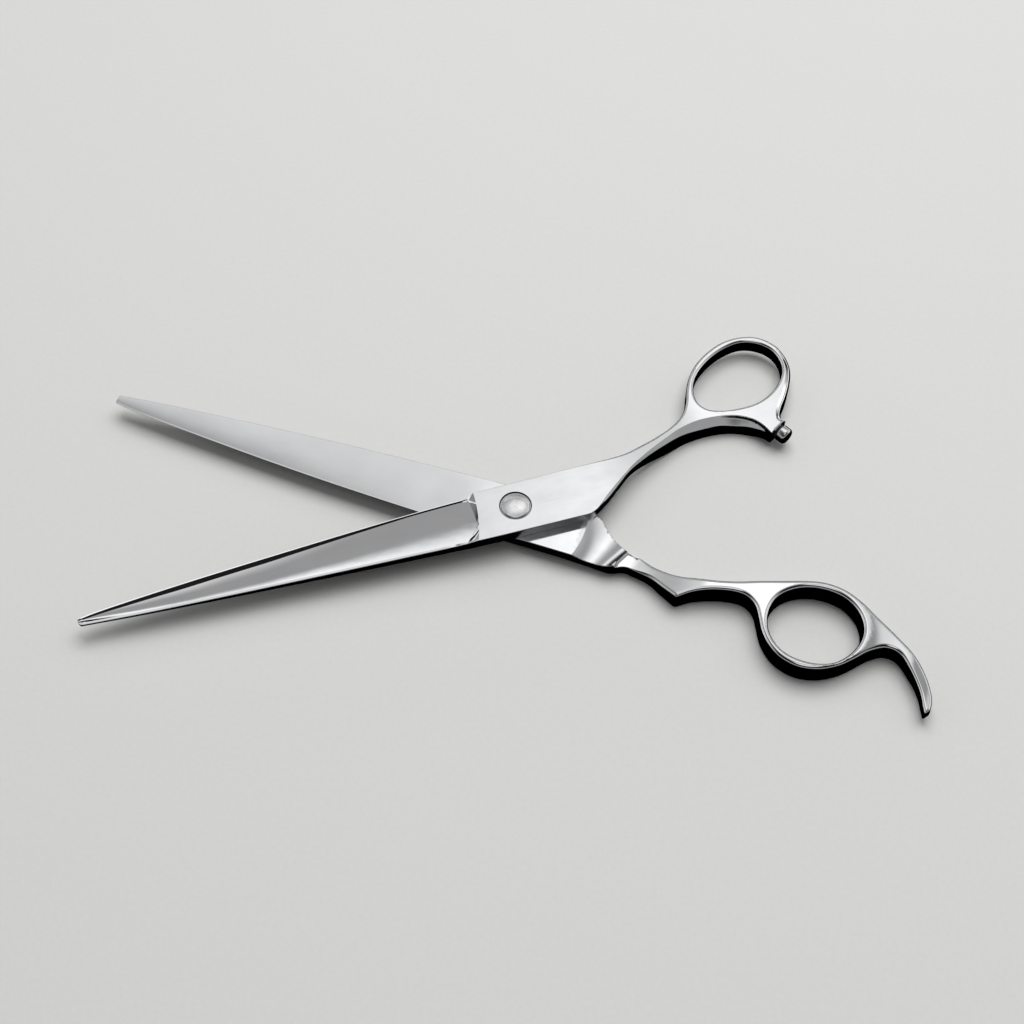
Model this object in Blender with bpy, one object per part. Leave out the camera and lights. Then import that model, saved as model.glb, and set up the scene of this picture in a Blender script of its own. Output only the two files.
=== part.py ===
"""Hair cutting shears with a ball bearing pivot, an offset thumb ring and a hooked finger rest.

The shears lie on a table at z = 0 with the pivot axis standing on the origin. Each half is modelled
in its own frame: x runs from the pivot to the handle, the cutting edge is on the +y side, and z is
the height above the ride face, positive to the outside. Lengths are in millimetres until a mesh is
made, and in metres from then on.
"""
import math

import bmesh
import bpy
import numpy as np
from mathutils import Vector
from mathutils.geometry import delaunay_2d_cdt

MM = 0.001

# Driving dimensions, in millimetres and degrees
RIDE_HEIGHT = 5.0            # ride face of the finger half above the table
RIDE_GAP = 0.1               # running clearance between the two ride faces
FINGER_AZIMUTH = -17.85      # direction of the finger half's handle
THUMB_AZIMUTH = 16.05        # direction of the thumb half's handle
PLATE_THICKNESS = 3.0        # both halves at the pivot
TIP_X = -104.5               # pivot to blade tip
BLADE_END_X = -11.5          # where the ground blade begins to run out
PLUNGE_X = -8.7              # corner where the plate starts, on the edge side
TIP_THICKNESS = 1.05
EDGE_LAND = 0.12             # thickness left along the cutting edge
BEVEL_WIDTH = 0.42           # widest at the tip
BEVEL_SLOPE = 0.51
BAND_WIDTH = 1.25            # second bevel behind the edge, widest towards the tip
BAND_SLOPE = 0.32
SPINE_CHAMFER = 0.5
CHAMFER_DROP = 0.28
CHAMFER_FADE = (11.0, 20.0)    # distance from the pivot over which the spine chamfer appears
HOLLOW_DEPTH = 0.16          # hollow of the ground faces
HOLLOW_FADE = (9.0, 22.0)      # distance from the pivot over which the hollow appears
PLATE_EDGE_RADIUS = 0.15
SPINE_EDGE_RADIUS = 0.12
FINGER_EDGE_RADIUS = 1.0
THUMB_EDGE_RADIUS = 0.75

FINGER_CREST = 1.8           # crest of the finger ring above its ride face
FINGER_RING_CENTRE = (74.5, 8.5)
SCOOP_DEPTH = 1.1            # hollow across the finger half's block
SCOOP_BOW = 0.022            # curvature of the line where the hollow starts
SCOOP_STEP = 0.9             # step down from the block to the neck
STEP_LENGTH = 0.5
WEB_SLOPE = 0.26             # fall of the web between the finger ring and the rest
WEB_DROP = 0.9
THUMB_CREST = 0.9            # crest of the thumb ring above its ride face
RING_LIFT = 1.6              # the far side of the thumb ring is this much thinner
LUG_LIFT = 1.8               # and so is the end of the lug
FLANK_SLOPE = 1.19           # bevelled flank beside the thumb shank's crest
FLANK_WIDTH = 2.4
FLANK_EDGE_RADIUS = 0.2
POCKET_DEPTH = 0.55          # groove under the crest near the lug
POCKET_RUN = 0.5
FACET_WIDTH = 1.35           # facet down the side of the thumb ring and lug
FACET_SLOPE = 0.5

SHANK_RADIUS = 1.75          # pivot screw
RUNNING_CLEARANCE = 0.05
PIVOT_BORE = SHANK_RADIUS + RUNNING_CLEARANCE
HEAD_RADIUS = 3.5
HEAD_RIM = 0.3
HEAD_DOME = 0.45
COUNTERBORE_RADIUS = 3.75
COUNTERBORE_FLOOR = 0.9      # above the thumb half's ride face
BUSHING_RADIUS = 2.2
RACE_THICKNESS = 0.4
BALL_COUNT = 12
BALL_RADIUS = 0.45
BALL_CIRCLE = 2.75
SEAT_GAP = 0.03              # between neighbouring seated pieces
GLIDE_RADIUS = 4.5
GLIDE_RECESS = 0.35
CLICK_RADIUS = 4.2
CLICK_RECESS = 0.7
CLICK_TEETH = 24
TOOTH_HEIGHT = 0.1
DIAL_RADIUS = 4.6
DIAL_TEETH = 30
KNURL_DEPTH = 0.12
DIAL_CAVITY_RADIUS = 3.9
DIAL_FLOOR = 0.65
DIAL_GAP = 0.15              # between the dial's rim and the finger half
DIAL_CAVITY_DEPTH = 0.65
KEY_HOLE_RADIUS = 0.5
KEY_HOLE_CIRCLE = 2.9
KEY_HOLE_DEPTH = 0.4
SPRING_THICKNESS = 0.2
SPRING_RISE = 0.3

BUMPER_SEAT = (68.9, 5.35)   # middle of the lug's end, in the thumb half's frame
BUMPER_DIRECTION = -61.0     # degrees from the thumb half's x axis
BUMPER_HEIGHT = -1.2         # above the thumb half's ride face
BUMPER_RADIUS = 2.1
BUMPER_LENGTH = 3.0
BUMPER_ROUND = 0.95
COLLAR_TOP = 0.5
STUD_RADIUS = 0.7
STUD_DEPTH = 3.3             # in the lug
SOCKET_DEPTH = 1.6           # in the bumper head

CUTTER_REACH = 1.0           # how far cutters run past a face

# Plan steps
BLADE_STEP = 6.0
HANDLE_STEP = 1.5
TIP_STEP = 0.6


def clear_scene():
    for old in list(bpy.data.objects):
        bpy.data.objects.remove(old, do_unlink=True)


def material(name, colour, roughness, metallic):
    made = bpy.data.materials.new(name)
    made.use_nodes = True
    shader = made.node_tree.nodes["Principled BSDF"]
    shader.inputs["Base Color"].default_value = (*colour, 1.0)
    shader.inputs["Roughness"].default_value = roughness
    shader.inputs["Metallic"].default_value = metallic
    return made


def add_object(name, points, faces, look, parent=None):
    """A named object from points in millimetres, shaded smooth with its sharp edges kept."""
    mesh = bpy.data.meshes.new(name)
    mesh.from_pydata([Vector(p) * MM for p in points], [], faces)
    work = bmesh.new()
    work.from_mesh(mesh)
    bmesh.ops.recalc_face_normals(work, faces=work.faces)
    work.to_mesh(mesh)
    work.free()
    mesh.shade_smooth()
    mesh.set_sharp_from_angle(angle=math.radians(32))
    mesh.materials.append(look)
    made = bpy.data.objects.new(name, mesh)
    bpy.context.scene.collection.objects.link(made)
    made.parent = parent
    return made


def add_empty(name, location, rotation, parent=None):
    made = bpy.data.objects.new(name, None)
    bpy.context.scene.collection.objects.link(made)
    made.location = Vector(location) * MM
    made.rotation_euler = rotation
    made.parent = parent
    return made


# Plan curves

def smooth_line(points, step, closed=False):
    """Points about one step apart on a centripetal Catmull-Rom curve through the given points."""
    knots = [Vector(p) for p in points]
    if closed:
        knots = [knots[-1]] + knots + knots[:2]
    else:
        knots = [2 * knots[0] - knots[1]] + knots + [2 * knots[-1] - knots[-2]]
    line = []
    for a, b, c, d in zip(knots, knots[1:], knots[2:], knots[3:]):
        count = max(1, round((c - b).length / step))
        t1 = (b - a).length ** 0.5
        t2 = t1 + (c - b).length ** 0.5
        t3 = t2 + (d - c).length ** 0.5
        for i in range(count):
            t = t1 + (t2 - t1) * i / count
            ab = a * ((t1 - t) / t1) + b * (t / t1)
            bc = b * ((t2 - t) / (t2 - t1)) + c * ((t - t1) / (t2 - t1))
            cd = c * ((t3 - t) / (t3 - t2)) + d * ((t - t2) / (t3 - t2))
            abc = ab * ((t2 - t) / t2) + bc * (t / t2)
            bcd = bc * ((t3 - t) / (t3 - t1)) + cd * ((t - t1) / (t3 - t1))
            line.append(abc * ((t2 - t) / (t2 - t1)) + bcd * ((t - t1) / (t2 - t1)))
    if not closed:
        line.append(knots[-2].copy())
    return [(p.x, p.y) for p in line]


def joined(*lines):
    """One outline from runs that meet end to end."""
    outline = []
    for line in lines:
        outline += [p for p in line if not outline or math.dist(p, outline[-1]) > 0.05]
    if math.dist(outline[0], outline[-1]) < 0.05:
        outline.pop()
    return outline


def circle(radius, count, centre=(0.0, 0.0)):
    turn = 2 * math.pi / count
    return [(centre[0] + radius * math.cos(i * turn), centre[1] + radius * math.sin(i * turn))
            for i in range(count)]


def smoothstep(value, low, high):
    t = np.clip((value - low) / (high - low), 0.0, 1.0)
    return t * t * (3 - 2 * t)


def distance_to_loops(points, loops):
    """Distance of each plan point from the nearest edge of the loops."""
    points = np.asarray(points, float)
    nearest = np.full(len(points), 1e9)
    for loop in loops:
        start = np.asarray(loop, float)
        along = np.roll(start, -1, axis=0) - start
        length2 = (along ** 2).sum(1)
        gap = points[:, None, :] - start[None]
        t = np.clip((gap * along).sum(2) / length2, 0.0, 1.0)
        away = gap - t[:, :, None] * along
        nearest = np.minimum(nearest, np.sqrt((away ** 2).sum(2)).min(1))
    return nearest


def inside_loop(points, loop):
    points = np.asarray(points, float)
    start = np.asarray(loop, float)
    end = np.roll(start, -1, axis=0)
    x, y = points[:, None, 0], points[:, None, 1]
    spans = (start[None, :, 1] > y) != (end[None, :, 1] > y)
    rise = np.where(end[:, 1] == start[:, 1], 1.0, end[:, 1] - start[:, 1])
    crossing = start[:, 0] + (y - start[:, 1]) * (end[:, 0] - start[:, 0]) / rise
    return (spans & (x < crossing)).sum(1) % 2 == 1


def inward_normals(loop, hole):
    """Unit normals that point from a loop into the material."""
    points = np.asarray(loop, float)
    along = np.roll(points, -1, axis=0) - np.roll(points, 1, axis=0)
    normal = np.column_stack([-along[:, 1], along[:, 0]])
    normal /= np.linalg.norm(normal, axis=1)[:, None]
    x, y = points[:, 0], points[:, 1]
    area = (x * np.roll(y, -1) - np.roll(x, -1) * y).sum()
    return normal * (1 if (area > 0) != hole else -1)


class Forging:
    """A half's shape: a plan outline with a ring hole, and heights over it."""

    ROUND_STEPS = (25, 50, 75, 90)     # degrees round a handle's edge
    GRID = 3.0

    def __init__(self, outline, hole, outer, inner, edge_radius, creases):
        self.loops = [outline, hole]
        self.outer = outer
        self.inner = inner
        self.edge_radius = edge_radius
        self.creases = creases

    def rounding_rows(self):
        """Plan points along the rounded edges, on lines that run beside each loop."""
        rows = []
        for loop, hole in zip(self.loops, (False, True)):
            normals = inward_normals(loop, hole)
            radii = self.edge_radius(*np.asarray(loop).T)
            for angle in self.ROUND_STEPS:
                share = 1 - math.cos(math.radians(angle))
                for point, normal, radius in zip(loop, normals, radii):
                    rounded = radius > 0.3 or (angle == 90 and radius > 0.05)
                    if rounded:
                        rows.append((point[0] + normal[0] * radius * share,
                                     point[1] + normal[1] * radius * share, radius * share))
        rows = np.array(rows)
        clear = distance_to_loops(rows[:, :2], self.loops) > 0.96 * rows[:, 2]
        return [tuple(p) for p in rows[clear, :2]]

    def grid_points(self):
        """Plan points over the wide stretches of the handle side."""
        spots = []
        for x in np.arange(BLADE_END_X + 2, 100, self.GRID):
            for y in np.arange(-36, 36, self.GRID):
                spots.append((x, y))
        spots = np.array(spots)
        wide = distance_to_loops(spots, self.loops) > 0.9 + self.edge_radius(*spots.T)
        wide &= inside_loop(spots, self.loops[0])
        return [tuple(p) for p in spots[wide]]

    def plan(self):
        """Triangles of the plan, with an edge along every loop and crease."""
        points, edges = [], []
        for loop in self.loops:
            first = len(points)
            points += loop
            edges += [(first + i, first + (i + 1) % len(loop)) for i in range(len(loop))]
        for crease in self.creases:
            first = len(points)
            points += crease
            edges += [(first + i, first + i + 1) for i in range(len(crease) - 1)]
        loose = self.rounding_rows() + self.grid_points()
        fixed = np.array(points)
        loose = [p for p in loose if np.hypot(*(fixed - p).T).min() > 0.12]
        points += loose
        verts, _, faces, *_ = delaunay_2d_cdt([Vector(p) for p in points], edges, [], 0, 1e-4)
        verts = np.array([tuple(v) for v in verts])
        middle = verts[np.array(faces)].mean(1)
        keep = inside_loop(middle, self.loops[0]) & ~inside_loop(middle, self.loops[1])
        return verts, [tuple(f) for f, kept in zip(faces, keep) if kept]

    def solid(self):
        """Points and faces of the closed body."""
        plan, triangles = self.plan()
        away = distance_to_loops(plan, self.loops)
        radius = np.maximum(self.edge_radius(*plan.T), 1e-6)
        t = np.clip(away / radius, 0.0, 1.0)
        fall = radius * (1 - np.sqrt(np.maximum(0.0, 1 - (1 - t) ** 2)))
        high = self.outer(plan[:, 0], plan[:, 1]) - fall
        low = self.inner(plan[:, 0], plan[:, 1]) + fall
        count = len(plan)
        points = [(x, y, z) for (x, y), z in zip(plan, high)]
        points += [(x, y, z) for (x, y), z in zip(plan, low)]
        sides = {}
        faces = []
        for a, b, c in triangles:
            faces.append((a, b, c))
            faces.append((c + count, b + count, a + count))
            for pair in ((a, b), (b, c), (c, a)):
                sides[pair] = True
        for a, b in sides:
            if (b, a) not in sides:
                faces.append((b, a, a + count))
                faces.append((b, a + count, b + count))
        used = sorted({i for f in faces for i in f})
        order = {old: new for new, old in enumerate(used)}
        return [points[i] for i in used], [tuple(order[i] for i in f) for f in faces]


# Blade geometry shared by the two halves

def blade_width(x, edge_line, spine_line):
    return np.interp(x, *edge_line) - np.interp(x, *spine_line)


def bevel_reach(x, width):
    taper = np.interp(x, [TIP_X, -60.0, -25.0], [1.0, 0.8, 0.5])
    return np.minimum(BEVEL_WIDTH * taper, 0.2 * width)


def band_reach(x, width):
    fade = np.interp(x, [TIP_X, -60.0, -25.0], [1.0, 1.0, 0.12])
    return bevel_reach(x, width) + np.minimum(BAND_WIDTH * fade, 0.25 * width)


def chamfer_reach(x, width):
    return width - np.minimum(SPINE_CHAMFER, 0.2 * width)


def ground_thickness(x):
    """Thickness at the spine along the ground blade."""
    return np.interp(x, [TIP_X, -90.0, BLADE_END_X], [TIP_THICKNESS, 1.3, PLATE_THICKNESS - 0.15])


def blade_profile(x, y, edge_line, spine_line):
    """Height of the outer face: edge bevel, second band, hollow main face and spine chamfer."""
    width = blade_width(x, edge_line, spine_line)
    reach = np.interp(x, *edge_line) - y
    bevel, band, chamfer = bevel_reach(x, width), band_reach(x, width), chamfer_reach(x, width)
    bevel_top = EDGE_LAND + bevel * BEVEL_SLOPE
    band_top = bevel_top + (band - bevel) * BAND_SLOPE
    face_top = ground_thickness(x) - 0.22
    height = EDGE_LAND + (bevel_top - EDGE_LAND) * np.clip(reach / bevel, 0, 1)
    height += (band_top - bevel_top) * np.clip((reach - bevel) / (band - bevel), 0, 1)
    across = np.clip((reach - band) / (chamfer - band), 0, 1)
    hollow = HOLLOW_DEPTH * np.minimum(1, width / 10) * 4 * across * (1 - across)
    height += (face_top - band_top) * across - hollow
    drop = CHAMFER_DROP * smoothstep(-x, *CHAMFER_FADE)
    return height - drop * np.clip((reach - chamfer) / (width - chamfer), 0, 1)


def ride_profile(x, y, edge_line, spine_line):
    """Shallow hollow of the inner face between the ride line and the spine."""
    width = blade_width(x, edge_line, spine_line)
    reach = np.interp(x, *edge_line) - y
    start = np.minimum(1.2, 0.3 * width)
    across = np.clip((reach - start) / (width - start), 0, 1)
    depth = HOLLOW_DEPTH * np.minimum(1, width / 10)
    return depth * 4 * across * (1 - across) * smoothstep(-x, *HOLLOW_FADE)


def blade_creases(edge_line, spine_line):
    """Creases along the blade, each at a distance from the cutting edge that a rule gives."""
    rules = [bevel_reach, band_reach, chamfer_reach]
    for part in (0.25, 0.5, 0.75):
        rules.append(lambda x, w, part=part: band_reach(x, w)
                     + part * (chamfer_reach(x, w) - band_reach(x, w)))
    stations = np.linspace(TIP_X + 1.6, BLADE_END_X, 19)
    width = blade_width(stations, edge_line, spine_line)
    edge = np.interp(stations, *edge_line)
    return [plan_line(stations, edge - rule(stations, width)) for rule in rules]


def plan_line(xs, ys):
    return [(float(x), float(y)) for x, y in zip(xs, ys)]


def plunge_line(y):
    """Bowed line where the ground face has run out into the plate."""
    return PLUNGE_X - 0.013 * (6.2 - y) ** 2


def plunge_depth(y):
    """Length of the run-out, longest where the step down is highest."""
    return 0.35 + 0.14 * np.clip(y + 1.5, 0.0, 7.5) + 0.5 * np.clip(-2.0 - y, 0.0, 6.0)


def plunge_share(x, y):
    """0 on the ground face, 1 on the plate."""
    return np.clip((x - plunge_line(y)) / plunge_depth(y) + 1, 0, 1)


def plunge_creases(top_y, bottom_y):
    ys = np.linspace(top_y, bottom_y, 9)
    return [plan_line(plunge_line(ys) - share * plunge_depth(ys), ys) for share in (0, 1)]


def plate_edge_radius(x, y):
    """Edge rounding of the plate and, smaller, of the blade's spine; the cutting edge has none."""
    plate = PLATE_EDGE_RADIUS * np.clip((x - PLUNGE_X) / 1.5, 0, 1)
    return np.maximum(plate, SPINE_EDGE_RADIUS * np.clip(-y, 0, 1))


def line_distance(points, line):
    """Distance from each point to an open line."""
    line = np.asarray(line, float)
    start, along = line[:-1], np.diff(line, axis=0)
    gap = points[:, None, :] - start[None]
    t = np.clip((gap * along).sum(2) / (along ** 2).sum(1), 0.0, 1.0)
    return np.sqrt(((gap - t[:, :, None] * along) ** 2).sum(2).min(1))


def facet_depth(x, y, line, from_x):
    """How far a point lies inside the strip beside a line, for the points past from_x."""
    depth = np.clip(FACET_WIDTH - line_distance(np.column_stack([x, y]), line), 0.0, None)
    return depth * (x > from_x)


def beside(line, distance):
    """The line's own offset, on its right when it runs downwards."""
    line = np.asarray(line, float)
    along = np.gradient(line, axis=0)
    along /= np.linalg.norm(along, axis=1)[:, None]
    moved = line + distance * np.column_stack([along[:, 1], -along[:, 0]])
    return plan_line(*moved.T)


def polar_reach(hole, centre):
    """Angle and distance of a ring hole's edge seen from its centre, ready for interpolation."""
    gap = np.asarray(hole) - centre
    angle = np.arctan2(gap[:, 1], gap[:, 0])
    order = np.argsort(angle)
    angle, reach = angle[order], np.hypot(*gap.T)[order]
    turn = 2 * math.pi
    return (np.concatenate([angle[-1:] - turn, angle, angle[:1] + turn]),
            np.concatenate([reach[-1:], reach, reach[:1]]))


def split_line(line):
    xs, ys = zip(*sorted(line))
    return np.array(xs), np.array(ys)


# The two halves

def finger_half_shape():
    edge = smooth_line([(TIP_X + 0.6, 0.0), (-100.3, 0.7), (-80.4, 2.8), (-50.5, 5.3), (-22.4, 6.85),
                        (-10.2, 7.25)], BLADE_STEP)
    spine = smooth_line([(20.0, -5.0), (10.0, -6.4), (0.0, -6.8), (-20.6, -6.6), (-50.6, -5.7),
                         (-80.4, -4.15), (-100.3, -2.75), (TIP_X + 0.6, -2.3)], BLADE_STEP)
    tip = smooth_line([(TIP_X + 0.6, -2.3), (TIP_X + 0.45, -2.0), (TIP_X + 0.42, -1.2),
                       (TIP_X + 0.42, -0.3), (TIP_X + 0.6, 0.0)], TIP_STEP)
    plate = smooth_line([(PLUNGE_X, 6.75), (0.0, 6.8), (12.0, 7.0), (20.0, 7.2), (25.5, 7.2), (28.7, 5.9),
                         (30.7, 6.1), (34.9, 7.1), (38.6, 9.0), (42.3, 10.9)], HANDLE_STEP)
    rest_arc = smooth_line([(42.3, 10.9), (45.8, 8.5), (50.2, 6.7), (55.0, 5.7), (57.8, 6.0), (60.2, 7.8),
                            (61.6, 10.5), (63.1, 13.7), (65.3, 16.6), (68.4, 18.9), (73.0, 20.1),
                            (77.8, 19.3), (82.0, 17.0), (84.9, 14.3), (88.0, 11.0), (91.2, 9.0),
                            (94.0, 9.3), (97.3, 12.6), (100.4, 17.0), (101.8, 20.4)], HANDLE_STEP)
    rest_tip = smooth_line([(101.8, 20.4), (102.6, 21.9), (103.7, 20.9)], TIP_STEP)
    back = smooth_line([(103.7, 20.9), (103.5, 17.8), (101.4, 13.2), (97.7, 8.7), (92.6, 4.9), (87.6, 1.8),
                        (83.2, -1.0), (78.9, -2.7), (74.3, -3.1), (70.2, -2.3), (65.2, -0.7), (60.2, 0.9),
                        (55.1, 2.7), (50.2, 4.0), (46.2, 4.6), (41.5, 5.0), (36.5, 4.2), (31.5, 2.5)],
                       HANDLE_STEP)
    block = smooth_line([(28.3, 2.1), (25.1, 0.0), (22.3, -2.4), (20.0, -5.0)], HANDLE_STEP)
    outline = joined(edge, plate, rest_arc, rest_tip, back, block, spine, tip)
    hole = smooth_line([(85.3, 7.2), (84.2, 12.1), (80.5, 16.5), (74.8, 18.1), (69.0, 17.1), (65.0, 13.4),
                        (63.7, 8.6), (64.8, 4.0), (68.4, 0.5), (74.0, -1.2), (79.8, -0.3), (83.8, 3.0)],
                       HANDLE_STEP, closed=True)
    edge_line, spine_line = split_line(edge), split_line(spine)
    reach_angle, reach_length = polar_reach(hole, FINGER_RING_CENTRE)

    def scoop_start(y):
        return 17.3 - 0.09 * y - SCOOP_BOW * (y - 1.8) ** 2

    def scoop_end(y):
        return 29.45 - 0.5 * y

    def outer(x, y):
        handle = PLATE_THICKNESS + (RIDE_HEIGHT - PLATE_THICKNESS) * smoothstep(x, 12.0, 42.0)
        handle = handle - 1.6 * smoothstep(x, 92.0, 104.0)
        ground = blade_profile(x, y, edge_line, spine_line)
        return np.where(x < 0, ground + (handle - ground) * plunge_share(x, y), handle)

    def web_drop(x, y):
        """How far the web beyond the finger ring falls below the crest."""
        gap_x, gap_y = x - FINGER_RING_CENTRE[0], y - FINGER_RING_CENTRE[1]
        away = np.hypot(gap_x, gap_y) - np.interp(np.arctan2(gap_y, gap_x), reach_angle, reach_length)
        reach = away - 1.4
        reach = (reach + np.sqrt(reach ** 2 + 0.5)) / 2
        return WEB_DROP * (1 - np.exp(-WEB_SLOPE * reach / WEB_DROP)) * smoothstep(gap_x, 2.0, 9.0)

    def inner(x, y):
        share = np.clip((x - scoop_start(y)) / (scoop_end(y) - scoop_start(y)), 0, 1)
        scoop = SCOOP_DEPTH * 4 * share * (1 - share)
        step = SCOOP_STEP * np.clip((x - scoop_end(y)) / STEP_LENGTH, 0, 1)
        crest = (FINGER_CREST + SCOOP_STEP) * smoothstep(x, 29.5, 50.0)
        crest = crest - 0.9 * smoothstep(x, 96.0, 104.0) - web_drop(x, y)
        return np.where(x < 0, ride_profile(x, y, edge_line, spine_line), scoop + step - crest)

    def edge_radius(x, y):
        radius = plate_edge_radius(x, y)
        radius = radius + (FINGER_EDGE_RADIUS - PLATE_EDGE_RADIUS) * smoothstep(x, 28.5, 36.0)
        return radius - 0.25 * smoothstep(x, 94.0, 101.0)

    creases = blade_creases(edge_line, spine_line) + plunge_creases(6.3, -6.2)
    for share in (0.0, 0.25, 0.5, 0.75):
        ys = np.linspace(-3.4 if share < 0.5 else -1.5, 6.3, 6)
        creases.append(plan_line(scoop_start(ys) + share * (scoop_end(ys) - scoop_start(ys)), ys))
    ys = np.linspace(2.6, 5.6, 4)
    creases += [plan_line(scoop_end(ys), ys), plan_line(scoop_end(ys) + STEP_LENGTH, ys)]
    return Forging(outline, hole, outer, inner, edge_radius, creases)


def thumb_half_shape():
    edge = smooth_line([(TIP_X + 0.6, 0.2), (-100.2, 0.8), (-80.0, 2.7), (-49.6, 4.8), (-21.2, 6.4),
                        (-10.2, 6.75)], BLADE_STEP)
    spine = smooth_line([(14.5, -7.0), (5.0, -7.0), (-9.2, -6.9), (-29.4, -6.1), (-49.6, -5.2),
                         (-70.0, -4.2), (-90.0, -3.1), (TIP_X + 0.6, -2.1)], BLADE_STEP)
    tip = smooth_line([(TIP_X + 0.6, -2.1), (TIP_X + 0.3, -1.7), (TIP_X + 0.05, -0.7), (TIP_X + 0.15, 0.0),
                       (TIP_X + 0.6, 0.2)], TIP_STEP)
    plate = smooth_line([(PLUNGE_X, 6.2), (0.0, 6.3), (12.0, 6.4), (20.6, 6.55), (26.0, 6.8), (30.0, 7.4),
                         (34.0, 8.7), (38.5, 10.3), (43.0, 12.3), (46.8, 15.0), (49.0, 18.3), (50.4, 21.8),
                         (52.3, 25.4), (55.2, 28.8), (59.2, 31.6), (64.0, 33.6), (68.9, 33.9), (73.0, 32.7),
                         (76.0, 29.9), (77.9, 26.0), (77.9, 21.5), (76.1, 17.1), (73.8, 13.5), (71.7, 10.8),
                         (70.65, 8.9), (70.3, 7.5), (70.87, 6.44)], HANDLE_STEP)
    lug_left = smooth_line([(66.36, 3.95), (65.0, 5.8), (63.3, 7.6), (61.0, 9.1), (57.0, 10.4),
                            (52.0, 10.8), (46.0, 10.1), (39.6, 7.65), (33.6, 4.75), (29.4, 2.3),
                            (25.3, -1.0), (21.6, -4.0), (18.2, -6.3)], HANDLE_STEP)
    crest = smooth_line([(18.6, -5.95), (21.3, -3.5), (25.1, -0.4), (27.5, 1.45), (30.0, 3.35), (35.0, 6.4),
                         (40.0, 9.0), (45.0, 11.3), (50.0, 12.5), (55.0, 12.4), (58.5, 11.8), (61.5, 10.6),
                         (64.0, 8.7), (65.4, 6.6), (66.35, 4.2)], HANDLE_STEP)
    side = smooth_line([(78.0, 27.5), (77.9, 21.5), (76.1, 17.1), (73.8, 13.5), (71.7, 10.8), (70.65, 8.9),
                        (70.3, 7.5)], HANDLE_STEP)
    corner = smooth_line([(18.2, -6.3), (16.6, -6.95), (14.5, -7.0)], 1.0)
    outline = joined(edge, plate, lug_left, corner, spine, tip)
    hole = smooth_line([(76.0, 24.2), (74.9, 28.2), (72.0, 31.0), (68.3, 32.2), (63.5, 31.4), (58.2, 28.8),
                        (54.3, 25.4), (52.3, 21.7), (52.0, 18.0), (53.5, 15.4), (56.7, 13.9), (61.0, 13.3),
                        (66.0, 13.6), (70.3, 15.4), (73.4, 18.0), (75.4, 21.0)], HANDLE_STEP, closed=True)
    edge_line, spine_line = split_line(edge), split_line(spine)
    table = -(RIDE_HEIGHT + RIDE_GAP)
    crest_x, crest_y = split_line(crest)
    crest_slope = np.gradient(crest_y, crest_x)

    def below_crest(x, y):
        """Distance past the crest line of the shank, towards the spine side."""
        run = np.interp(x, crest_x, crest_y) - y
        return run / np.sqrt(1 + np.interp(x, crest_x, crest_slope) ** 2)

    def outer(x, y):
        handle = PLATE_THICKNESS - (PLATE_THICKNESS - THUMB_CREST) * smoothstep(x, 20.0, 52.0)
        below = np.clip(below_crest(x, y), 0.0, FLANK_WIDTH) * smoothstep(x, 17.6, 20.5)
        pocket = smoothstep(below, 0.0, POCKET_RUN) * smoothstep(x, 54.0, 60.0)
        handle = handle - FLANK_SLOPE * below - POCKET_DEPTH * pocket
        handle = handle - FACET_SLOPE * facet_depth(x, y, side, 66.0)
        ground = blade_profile(x, y, edge_line, spine_line)
        return np.where(x < 0, ground + (handle - ground) * plunge_share(x, y), handle)

    def inner(x, y):
        drop = table * smoothstep(np.hypot(x, y), 27.0, 46.0)
        drop = drop + RING_LIFT * smoothstep(y, 14.0, 26.0) * (x > 40)
        seat_distance = np.hypot(x - BUMPER_SEAT[0], y - BUMPER_SEAT[1])
        drop = drop + LUG_LIFT * (1 - smoothstep(seat_distance, 2.0, 8.0))
        return np.where(x < 0, ride_profile(x, y, edge_line, spine_line), drop)

    def edge_radius(x, y):
        radius = plate_edge_radius(x, y)
        radius = radius + (THUMB_EDGE_RADIUS - PLATE_EDGE_RADIUS) * smoothstep(x, 14.0, 36.0)
        radius = radius - (THUMB_EDGE_RADIUS - FLANK_EDGE_RADIUS) * smoothstep(below_crest(x, y), -1.3, -0.6)
        radius = np.maximum(radius, plate_edge_radius(x, y))
        end = (x - BUMPER_SEAT[0]) * math.cos(math.radians(BUMPER_DIRECTION))
        end = end + (y - BUMPER_SEAT[1]) * math.sin(math.radians(BUMPER_DIRECTION))
        return radius * (1 - 0.8 * smoothstep(end, -2.5, -0.3) * (x > 60))

    creases = blade_creases(edge_line, spine_line) + plunge_creases(5.8, -6.5)
    creases += [crest, beside(side, FACET_WIDTH), [p for p in beside(crest, POCKET_RUN) if p[0] > 53.0]]
    return Forging(outline, hole, outer, inner, edge_radius, creases)


# Turned pieces

def turned(name, profile, look, count=48, parent=None, teeth=None):
    """A closed profile of (radius, height) points spun about z; teeth varies the radius by angle."""
    points, faces, rings = [], [], []
    for radius, height in profile:
        if radius < 1e-6:
            rings.append([len(points)] * count)
            points.append((0.0, 0.0, height))
            continue
        rings.append(list(range(len(points), len(points) + count)))
        for i in range(count):
            turn = 2 * math.pi * i / count
            r, z = teeth(i, radius, height) if teeth else (radius, height)
            points.append((r * math.cos(turn), r * math.sin(turn), z))
    closes_on_axis = profile[0][0] < 1e-6 and profile[-1][0] < 1e-6
    pairs = list(zip(rings, rings[1:]))
    if not closes_on_axis:
        pairs.append((rings[-1], rings[0]))
    for one, two in pairs:
        for i in range(count):
            j = (i + 1) % count
            corners = [one[i], one[j], two[j], two[i]]
            face = [c for k, c in enumerate(corners) if c not in corners[:k]]
            if len(face) > 2:
                faces.append(tuple(face))
    return add_object(name, points, faces, look, parent)


def washer(name, inner_radius, outer_radius, low, high, look, parent=None, count=48):
    profile = [(inner_radius, low), (inner_radius, high), (outer_radius, high), (outer_radius, low)]
    return turned(name, profile, look, count, parent)


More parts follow.
